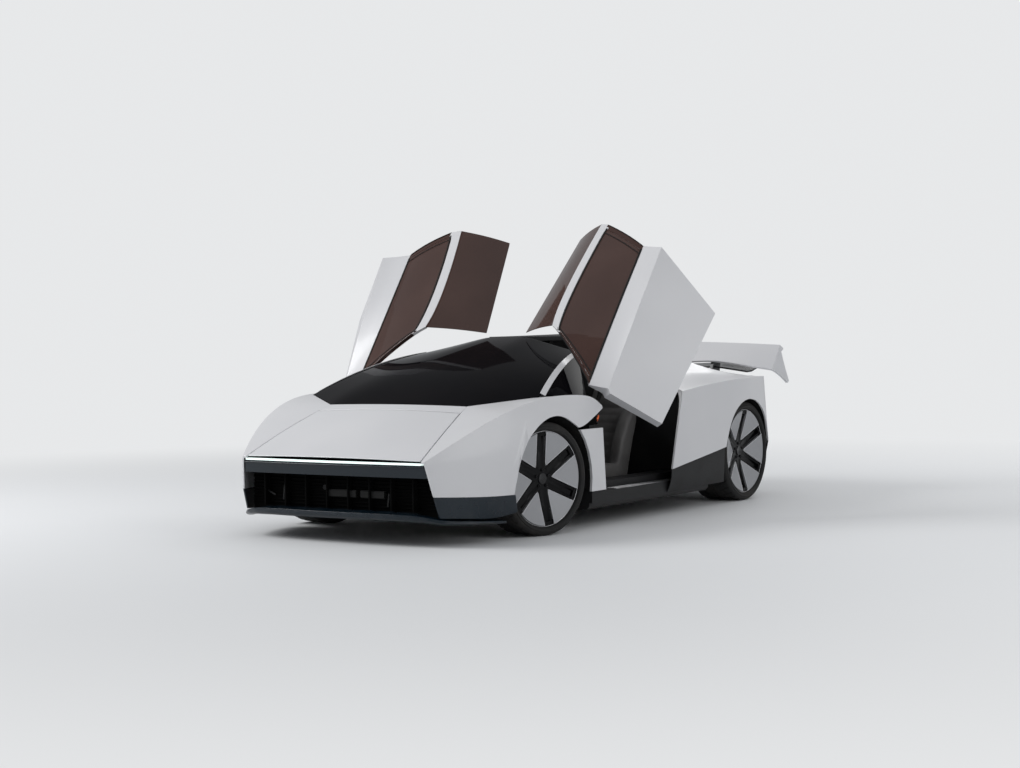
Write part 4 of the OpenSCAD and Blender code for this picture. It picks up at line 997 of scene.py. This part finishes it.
def inflate(form, cap):
    """Sinks the seams 3.5 mm, blows the rest up under pressure and caps the movement."""
    start = coordinates(form.data)
    normals = np.empty(len(start) * 3)
    form.data.vertices.foreach_get("normal", normals)
    near = seams(start)
    sunk = start - normals.reshape(-1, 3) * 0.0035 * np.clip(1 - near / 0.012, 0, 1)[:, None]
    form.data.vertices.foreach_set("co", sunk.ravel())
    held = form.vertex_groups.new(name="held")
    held.add(np.flatnonzero((near < 0.0055) | (start[:, 2] < 0.012)).tolist(), 1.0, "REPLACE")
    cloth = form.modifiers.new("cloth", "CLOTH")
    settings = cloth.settings
    settings.quality, settings.mass = 4, 0.3
    settings.vertex_group_mass = "held"
    settings.use_pressure, settings.uniform_pressure_force = True, 4.0
    settings.tension_stiffness = settings.compression_stiffness = 12.0
    settings.effector_weights.gravity = 0.0
    cloth.point_cache.frame_start, cloth.point_cache.frame_end = 1, 20
    for step in range(1, 21):
        scene.frame_set(step)
    swollen = coordinates(form.evaluated_get(bpy.context.evaluated_depsgraph_get()).data)
    scene.frame_set(1)
    form.modifiers.remove(cloth)
    form.vertex_groups.clear()
    moved = swollen - sunk
    length = np.linalg.norm(moved, axis=1, keepdims=True)
    sunk = sunk + moved * np.minimum(1.0, cap / np.maximum(length, 1e-9))
    print("seat moved by", round(float(length.max()) * 1000, 1), "mm, capped at", cap * 1000)
    form.data.vertices.foreach_set("co", (sunk + seat_place).ravel())
    form.data.update()


inflate(seat, 0.006)

# %% [markdown]
# The leather has a fine pebble and darker patches here and there. Piping runs along the
# foot of every bolster, and a row of stitches follows each pipe.

# %% Leather, piping and stitches
leather = grained("seat_leather", (0.115, 0.112, 0.110), (0.080, 0.078, 0.077), 0.55, 520, 0.0007,
                  specular=0.35)
thread = grained("seat_thread", (0.30, 0.29, 0.28), (0.24, 0.23, 0.22), 0.7, 900, 0.0003, specular=0.2)


def seat_pipes():
    """Piping on the middle panels' edges, and stitches 7 mm beside it."""
    tubes, stitches, axes = [], [], []
    t = np.linspace(0, 1, 40)
    for y in (-0.1485, 0.1485):
        base = np.array([(0.100, 0.1335), (0.240, 0.1515), (0.440, 0.1675), (0.480, 0.156)])
        lean = np.array([(0.1155, 0.150), (0.1225, 0.180), (0.1125, 0.330), (0.0975, 0.510), (0.086, 0.545)])
        for line, leant in ((base, False), (lean, True)):
            at = np.linspace(0, len(line) - 1, 40)
            path = np.column_stack([np.interp(at, range(len(line)), line[:, 0]), np.full(40, y),
                                    np.interp(at, range(len(line)), line[:, 1])])
            beside = path - [0, 0.008 * np.sign(y), 0.0]
            path, beside = (leaned(path), leaned(beside)) if leant else (path, beside)
            tubes.append(bar(path + seat_place, (0, 0, 1) if not leant else (1, 0, 0), oval(0.005, 0.005, 8)))
            along = unit(np.gradient(beside, axis=0))
            many = np.linspace(0, 39, 56)
            stitches.append(np.column_stack([np.interp(many, range(40),
                                                       beside[:, k]) for k in range(3)]) + seat_place)
            axes.append(np.column_stack([np.interp(many, range(40), along[:, k]) for k in range(3)]))
    stitch = turned([(0.0005, -0.0032), (0.0011, -0.0022), (0.0012, 0.0022), (0.0005, 0.0032)], 6)
    return joined("pipes", *tubes), copies("stitches", stitch, np.concatenate(stitches),
                                           np.concatenate(axes), 1.0)


def mirror_mesh(mesh, name):
    """The mesh on the other side of the car, its faces still outwards."""
    other = mesh.copy()
    other.name = name
    other.vertices.foreach_set("co", (coordinates(mesh) * [1, -1, 1]).ravel())
    other.flip_normals()
    return other


pipes, stitching = seat_pipes()
seat.data.materials.clear()
seat.data.materials.append(leather)
other_seat = new_piece("seat_right", mirror_mesh(seat.data, "seat_right"), "body", leather)
for pad in (seat, other_seat):
    fine = pad.modifiers.new("fine", "SUBSURF")
    fine.levels = fine.render_levels = 1
    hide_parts("seats")
for name, mesh, material in (("pipes", pipes, dash), ("stitches", stitching, thread)):
    for side in ("left", "right"):
        made = new_piece(f"seat_{name}_{side}",
                         mesh if side == "left" else mirror_mesh(mesh, name + "_right"), "body", material)
print("seats padded: 2")

# %% [markdown]
# The driver's side of the cabin: a steering wheel with a leather grip, a screen in its own
# hood, air vents with vanes and a centre screen. The door cards carry an armrest,
# a pull and a speaker. Their places are found by casting a ray at the lining of the door.

# %% Dashboard details
wheel_middle, wheel_tilt = np.array([0.400, 0.380, 0.700]), math.radians(110)
wheel_axis = np.array([math.sin(wheel_tilt), 0, math.cos(wheel_tilt)])
wheel_up = np.array([-math.cos(wheel_tilt), 0, math.sin(wheel_tilt)])


def on_steering(radius, angle, out=0.0):
    """Points on circles round the steering column: radius (cos a across + sin a up) + out along."""
    radius, angle = np.asarray(radius, float), np.asarray(angle, float)
    return (wheel_middle + (radius * np.cos(angle))[..., None] * np.array([0, 1.0, 0])
            + (radius * np.sin(angle))[..., None] * wheel_up + out * wheel_axis)


def cabin_parts():
    ring = np.linspace(0, 2 * math.pi, 97)[:-1]
    grips = [bar(on_steering(0.168, ring[s]), wheel_axis,
                 oval(0.0345, 0.0335, 14)) for s in (slice(2, 26), slice(26, 46), slice(50, 70),
                                                     slice(74, 94))]
    bands = [bar(on_steering(0.168, a + np.linspace(-0.02, 0.02, 5)), wheel_axis, oval(0.0365, 0.0355, 14))
             for a in (ring[26], ring[48], ring[72], ring[1])]
    pad = bar([tuple(wheel_middle - wheel_axis * d) for d in np.linspace(0.006, 0.040, 6)], wheel_up,
              oval(0.100, 0.080, 24), scale=[1.0, 1.0, 0.99, 0.96, 0.88, 0.70])
    paddles = [bar(on_steering(np.linspace(0.075, 0.128, 8), np.full(8, a), 0.030), wheel_axis,
                   slab(0.055, 0.004, 0.0015),
                   scale=np.linspace(0.55, 1.0, 8)) for a in (math.radians(12), math.radians(168))]
    new_piece("steering_grips", joined("grips", *grips, pad), "body", leather)
    new_piece("steering_bands", joined("bands", *bands, *paddles), "body", steel)

    y = np.linspace(-1, 1, 25)
    hood_line = np.column_stack([0.590 + 0.0 * y, 0.380 + 0.170 * y, 0.772 + 0.040 * (1 - y ** 4)])
    hood = bar(hood_line, (0, 0, 1), [(-0.05, -0.012), (0.06, -0.020), (0.06, -0.008), (-0.05, 0.0)])
    stand = bar([(0.575, 0.23, 0.745), (0.575, 0.53, 0.745)], (0, 0, 1), slab(0.050, 0.034, 0.006))
    centre = bar([(0.548, -0.150, 0.640), (0.548, 0.150, 0.640)], (-1, 0, 0), slab(0.150, 0.016, 0.004))
    new_piece("dash_hoods", joined("hoods", hood, stand, centre), "body", dash)
    screens = [bar([(0.5455, -0.138, 0.640), (0.5455, 0.138, 0.640)], (-1, 0, 0), slab(0.134, 0.0155, 0.001)),
               bar([(0.560, 0.245, 0.775), (0.560, 0.515, 0.775)], (-1, 0, 0.2), slab(0.052, 0.010, 0.002))]
    new_piece("dash_screens", joined("screens", *screens), "body", black_trim)

    frames = turned([(0.026, -0.012), (0.030, 0.006), (0.036, 0.010), (0.040, 0.006), (0.041, -0.004)], 28)
    places = [(0.556, y0, 0.690) for y0 in (-0.560, -0.215, 0.215, 0.575)]
    vents = [copies("vents", frames, places, [(-1, 0, 0)] * 4, 1.0)]
    for x, y0, z in places:
        for k in (-0.012, 0.0, 0.012):
            half = math.sqrt(0.030 ** 2 - k ** 2)
            vents.append(bar([(x - 0.004, y0 - half, z + k), (x - 0.004, y0, z + k - 0.0005),
                              (x - 0.004, y0 + half, z + k)], (-1, 0, 0.3),
                             slab(0.008, 0.0015, 0.0004)))
    new_piece("dash_vents", joined("vents", *vents), "body", steel)
    seam = bar(np.column_stack([np.full(30, 0.5575), np.linspace(-0.62, 0.62, 30),
                                np.full(30, 0.582)]), (-1, 0, 0), oval(0.004, 0.003, 8))
    low = bar(np.column_stack([np.full(30, 0.5575), np.linspace(-0.62, 0.62, 30),
                               np.full(30, 0.718)]), (-1, 0, 0), oval(0.004, 0.003, 8))
    new_piece("dash_seams", joined("seams", seam, low), "body", thread)


cabin_parts()
print("cabin dressed")

# %% Door cards

left_door = frame["nodes"]["door_shell_left"].data
shut_points = swung(coordinates(left_door), -62)
left_door.calc_loop_triangles()
lining = BVHTree.FromPolygons(shut_points.tolist(), [tuple(t.vertices) for t in left_door.loop_triangles])


def lining_points(x, z):
    """Where rays from the cabin's middle meet the shut left door."""
    hits = [lining.ray_cast(Vector((a, 0.45, b)), Vector((0, 1, 0))) for a, b in zip(x, z)]
    y = np.array([h[0][1] if h[0] else np.nan for h in hits])
    return np.column_stack([x, y, z])


def lining_line(x, z, off):
    """A row of points standing off the lining, with any missed ray filled from its neighbours."""
    points = lining_points(x, z)
    seen = ~np.isnan(points[:, 1])
    points[:, 1] = np.interp(np.arange(len(points)), np.flatnonzero(seen), points[seen, 1]) - off
    return points


def card_bar(side, line, section, scale=None):
    path = on_door(side, line)
    return bar(path, on_door(side, line - [0, 1, 0]) - path, section, scale)


def door_card(side):
    t = np.linspace(0, 1, 31)
    taper = np.clip(0.30 + 1.4 * np.sqrt(np.sin(math.pi * np.clip(t, 0.002, 0.998))), 0, 1)
    x = 0.36 - 0.52 * t
    rest_line = lining_line(x, 0.585 + 0.020 * (1 - t), 0.020)
    arm = card_bar(side, rest_line, oval(0.075, 0.062, 18), taper)
    new_piece(f"door_armrest_{side}", joined("armrest", arm), f"door_{side}", leather)

    ends = np.linspace(0, 1, 17)
    pull = lining_line(0.36 + 0.11 * ends, 0.650 + 0.045 * ends, 0.0)
    pull[:, 1] -= 0.032 * np.sin(math.pi * ends) ** 0.5 - 0.004
    switch = lining_line(np.linspace(0.20, 0.33, 9), np.full(9, 0.640), 0.0)
    release = lining_line(np.linspace(0.42, 0.50, 9), np.full(9, 0.735), 0.0)
    trims = [card_bar(side, pull, oval(0.020, 0.012, 12)), card_bar(side, release, slab(0.022, 0.010, 0.004)),
             card_bar(side, switch, slab(0.030, 0.008, 0.003))]
    new_piece(f"door_pull_{side}", joined("pull", *trims), f"door_{side}", steel)

    x = np.linspace(0.56, -0.20, 41)
    seam = [card_bar(side, lining_line(x, np.full(41, z), 0.0),
                     oval(0.004, 0.004, 6)) for z in (0.535, 0.700)]
    new_piece(f"door_seams_{side}", joined("seams", *seam), f"door_{side}", thread)

    middle = lining_line([0.43, 0.43], [0.445, 0.445], 0.0)[:1]
    face = on_door(side, middle - [0, 1, 0]) - on_door(side, middle)
    ring = turned([(0.060, 0.0), (0.070, 0.005), (0.077, 0.006), (0.082, 0.0)], 40)
    parts = [copies("speaker", ring, on_door(side, middle), face, 1.0)]
    for k in np.linspace(-0.052, 0.052, 9):
        half = math.sqrt(0.064 ** 2 - k ** 2)
        slat = np.column_stack([0.43 + np.linspace(-half, half, 7), np.full(7, middle[0, 1]),
                                np.full(7, 0.445 + k)])
        parts.append(card_bar(side, slat, slab(0.004, 0.004, 0.001)))
    new_piece(f"door_speaker_{side}", joined("speaker", *parts), f"door_{side}",
                      black_trim)


for side in ("left", "right"):
    door_card(side)
print("door cards: 2")

# %% [markdown]
# Below the quarter panel a dark sill runs back from the door opening to the rear wheel. Its
# top edge is tucked behind the panel and its rear edge follows the arch, a circle of 392 mm
# round the axle. A ribbed tread plate lies on the sill inside the door opening.

# %% Sills
def sill_fairing(side):
    """Rows from the panel's lower edge to the beam: mix(upper, lower, s) + 14 mm * 4 s (1 - s) outwards."""
    edge = [(-0.160, 0.990, 0.312), (-0.420, 0.992, 0.346), (-0.690, 0.992, 0.380), (-0.945, 0.988, 0.413)]
    at = np.linspace(0, 3, 31)
    upper = np.column_stack([np.interp(at, range(4), np.array(edge)[:, k]) for k in range(3)])
    lower = np.column_stack([np.linspace(-0.160, -0.9985, 31), np.full(31, 0.953),
                             np.linspace(0.150, 0.158, 31)])
    rows = []
    for level in np.linspace(0, 1, 13):
        row = mix(upper, lower, level) + np.array([0, 0.014 * 4 * level * (1 - level), 0])
        angle = np.arcsin(np.clip((row[-1, 2] - 0.354) / 0.392, -1, 1))
        shift = -1.338 + 0.392 * math.cos(angle) + 0.003 - row[-1, 0]
        row[:, 0] += shift * (at / 3) ** 2
        rows.append(row)
    outer = np.array(rows)
    inner = (outer - np.array([0, 0.005, 0]))[::-1]
    points = mirrored(np.concatenate([outer, inner]), side)
    return new_piece(f"sill_fairing_{side}",
                     joined("fairing", grid_mesh("fairing", points, round_rows=True)), "body", structure)


def tread_plate(side):
    x = np.linspace(0.50, -0.30, 9)
    base = bar(mirrored(np.column_stack([x, np.full(9, 0.906), np.full(9, 0.2222)]), side),
               (0, 0, 1), slab(0.076, 0.0025, 0.001))
    ribs = [bar(mirrored(np.column_stack([x, np.full(9, y), np.full(9, 0.2240)]), side), (0, 0, 1),
                slab(0.004, 0.0035, 0.001))
            for y in np.linspace(0.876, 0.936, 6)]
    screws = copies("screws", bolt_head, [mirrored((a, 0.906, 0.2245),
                                                   side) for a in (0.47, 0.12, -0.27)],
                                                   [(0, 0, 1)] * 3, 0.005)
    return new_piece(f"tread_plate_{side}", joined("tread", base, *ribs, screws), "body", steel)


for side in ("left", "right"):
    sill_fairing(side)
    tread_plate(side)
print("sills made")

# %% [markdown]
# The tail is a dark bowed face, x = -2.080 - 30 mm * (1 - s s). Fins cross its lower part,
# a bezel frames the lamp, and bolts hold the floor.

# %% Tail and floor details
def tail_line(half_w, z, off, count=41):
    s = np.linspace(-1, 1, count)
    return np.column_stack([-2.080 - 0.030 * (1 - (half_w * s / 0.640) ** 2) - off, half_w * s,
                            np.full(count, z)])


def tail_parts():
    fins = [bar(tail_line(0.600 - 0.10 * k / 9, 0.480 + 0.0190 * k, -0.002), (-1, 0, 0),
                slab(0.007, 0.014, 0.002)) for k in range(10)]
    new_piece("tail_fins", joined("fins", *fins), "body", recess)
    frames = [bar(tail_line(0.606, z, 0.0), (-1, 0, 0), slab(0.004, 0.018, 0.0015)) for z in (0.6955, 0.7265)]
    frames += [bar([(-2.083, y, 0.694), (-2.083, y, 0.711), (-2.083, y, 0.728)], (-1, 0, 0),
                   slab(0.006, 0.018, 0.0015))
               for y in (-0.606, 0.606)]
    frames.append(bar(tail_line(0.560, 0.815, 0.0), (-1, 0, 0), slab(0.006, 0.006, 0.002)))
    new_piece("lamp_bezel", joined("bezel", *frames), "body", black_trim)
    tow = turned([(0.002, 0.003), (0.024, 0.003), (0.027, 0.0045), (0.030, 0.003), (0.031, 0.0)], 32)
    eyes = copies("eye", tow, [(tail_line(0.4, 0.40, 0.0, 3)[-1])], [(-1, 0, 0)], 1.0)
    reflectors = [bar(mirrored(np.column_stack([np.interp(np.linspace(0.50, 0.60, 9), [0, 0.64],
                                                          [-2.110, -2.080]) - 0.001,
                                               np.linspace(0.50, 0.60, 9), np.full(9, 0.345)]),
                                               side), (-1, 0, 0), slab(0.018, 0.006, 0.002))
                  for side in ("left", "right")]
    new_piece("tow_cover", joined("tow", eyes), "body", black_trim)
    # The reflectors take the red lens finish, which glows: painted light, since a reflector is no lamp.
    new_piece("reflectors", joined("reflectors", *reflectors), "body", lamp_red)


tail_parts()


def fixings():
    """Bolts, seams and pads under the floor."""
    under = [(x, y, 0.118) for x in np.arange(-0.70, 1.45,
                                              0.215) for y in (-0.88, -0.33, 0.33,
                                                               0.88) if x < 0.8 or abs(y) < 0.5]
    bolts = copies("bolts", bolt_head, under, [(0, 0, -1)] * len(under), 0.009)
    new_piece("floor_bolts", bolts, "body", steel)
    lines = [bar([(x, -0.90, 0.1178), (x, 0, 0.1178), (x, 0.90, 0.1178)], (0, 0, -1),
                 slab(0.006, 0.0016, 0.0005)) for x in (-0.45, -0.02, 0.41)]
    lines += [bar([(-0.74, y, 0.1178), (0, y, 0.1178), (0.80, y, 0.1178)], (0, 0, -1),
                  slab(0.006, 0.0016, 0.0005)) for y in (-0.42, 0.42)]
    pads = [bar([(x - 0.05, y, 0.1178), (x, y, 0.1178), (x + 0.05, y, 0.1178)], (0, 0, -1),
                slab(0.060, 0.010, 0.004))
            for x in (-0.62, 0.66) for y in (-0.84, 0.84)]
    new_piece("floor_seams", joined("seams", *lines, *pads), "body", seal)


fixings()
print("tail and floor details made")

# %% [markdown]
# A plain pale floor, a backdrop of the world's own light and three soft lamps. The key
# lamp stands ahead and to the car's right, as the photograph's does.

# %% Floor, lamps and world
def floor_mesh(half, z):
    mesh = bpy.data.meshes.new("floor")
    mesh.from_pydata([(-half, -half, z), (half, -half, z), (half, half, z), (-half, half, z)], [],
                     [(0, 1, 2, 3)])
    return mesh


pale = (0.80, 0.81, 0.82)
floor_finish = Finish("pale_floor", Roughness=0.6, Specular_IOR_Level=0.2)
tree = floor_finish.tree
floor_finish.link("Base Color", floor_finish.blend(floor_finish.noise(0.8, 2.0) * 0.3,
                                                   (0.76, 0.77, 0.78), (0.73, 0.74, 0.75)))
away = floor_finish.node("ShaderNodeVectorMath", {"operation": "LENGTH"}, {0: floor_finish.place}, out=1)
shown = floor_finish.node("ShaderNodeLightPath", out=0)
distant = away.between(3.2, 9.0) * shown
plain = tree.nodes.new("ShaderNodeEmission")
plain.inputs["Color"].default_value = (*pale, 1)
mixed = tree.nodes.new("ShaderNodeMixShader")
tree.links.new(distant.socket, mixed.inputs[0])
tree.links.new(floor_finish.shader.outputs[0], mixed.inputs[1])
tree.links.new(plain.outputs[0], mixed.inputs[2])
tree.links.new(mixed.outputs[0], tree.nodes["Material Output"].inputs["Surface"])
floor = bpy.data.objects.new("floor", floor_mesh(60, 0.0))
floor.data.materials.append(floor_finish.material)
scene.collection.objects.link(floor)


def soft_lamp(name, place, aim, size, power):
    light = bpy.data.lights.new(name, "AREA")
    light.shape, light.size, light.energy = "SQUARE", size, power
    made = bpy.data.objects.new(name, light)
    scene.collection.objects.link(made)
    away = (Vector(place) - Vector(aim)).normalized()
    made.matrix_world = Matrix.Translation(place) @ away.to_track_quat("Z", "Y").to_matrix().to_4x4()


soft_lamp("key", (5.5, -6.5, 6.5), (0.4, 0, 0.5), 5.0, 620)
soft_lamp("side", (1.0, 8.0, 4.0), (0, 0, 0.6), 5.0, 130)
soft_lamp("back", (-7.5, 1.0, 5.5), (-0.5, 0, 0.6), 5.0, 200)

world = bpy.data.worlds.new("studio")
scene.world = world
world.use_nodes = True
sky = world.node_tree
back = sky.nodes["Background"]
back.inputs["Color"].default_value = (0.95, 0.97, 1.0, 1)
back.inputs["Strength"].default_value = 0.42
seen = sky.nodes.new("ShaderNodeBackground")
seen.inputs["Color"].default_value = (*pale, 1)
path = sky.nodes.new("ShaderNodeLightPath")
either = sky.nodes.new("ShaderNodeMixShader")
shown_to = path.outputs["Is Camera Ray"]
most = sky.nodes.new("ShaderNodeMath")
most.operation = "MAXIMUM"
sky.links.new(shown_to, most.inputs[0])
sky.links.new(path.outputs["Is Transmission Ray"], most.inputs[1])
shown_to = most.outputs[0]
sky.links.new(shown_to, either.inputs[0])
sky.links.new(back.outputs[0], either.inputs[1])
sky.links.new(seen.outputs[0], either.inputs[2])
sky.links.new(either.outputs[0], sky.nodes["World Output"].inputs["Surface"])
scene.view_settings.view_transform = "Standard"
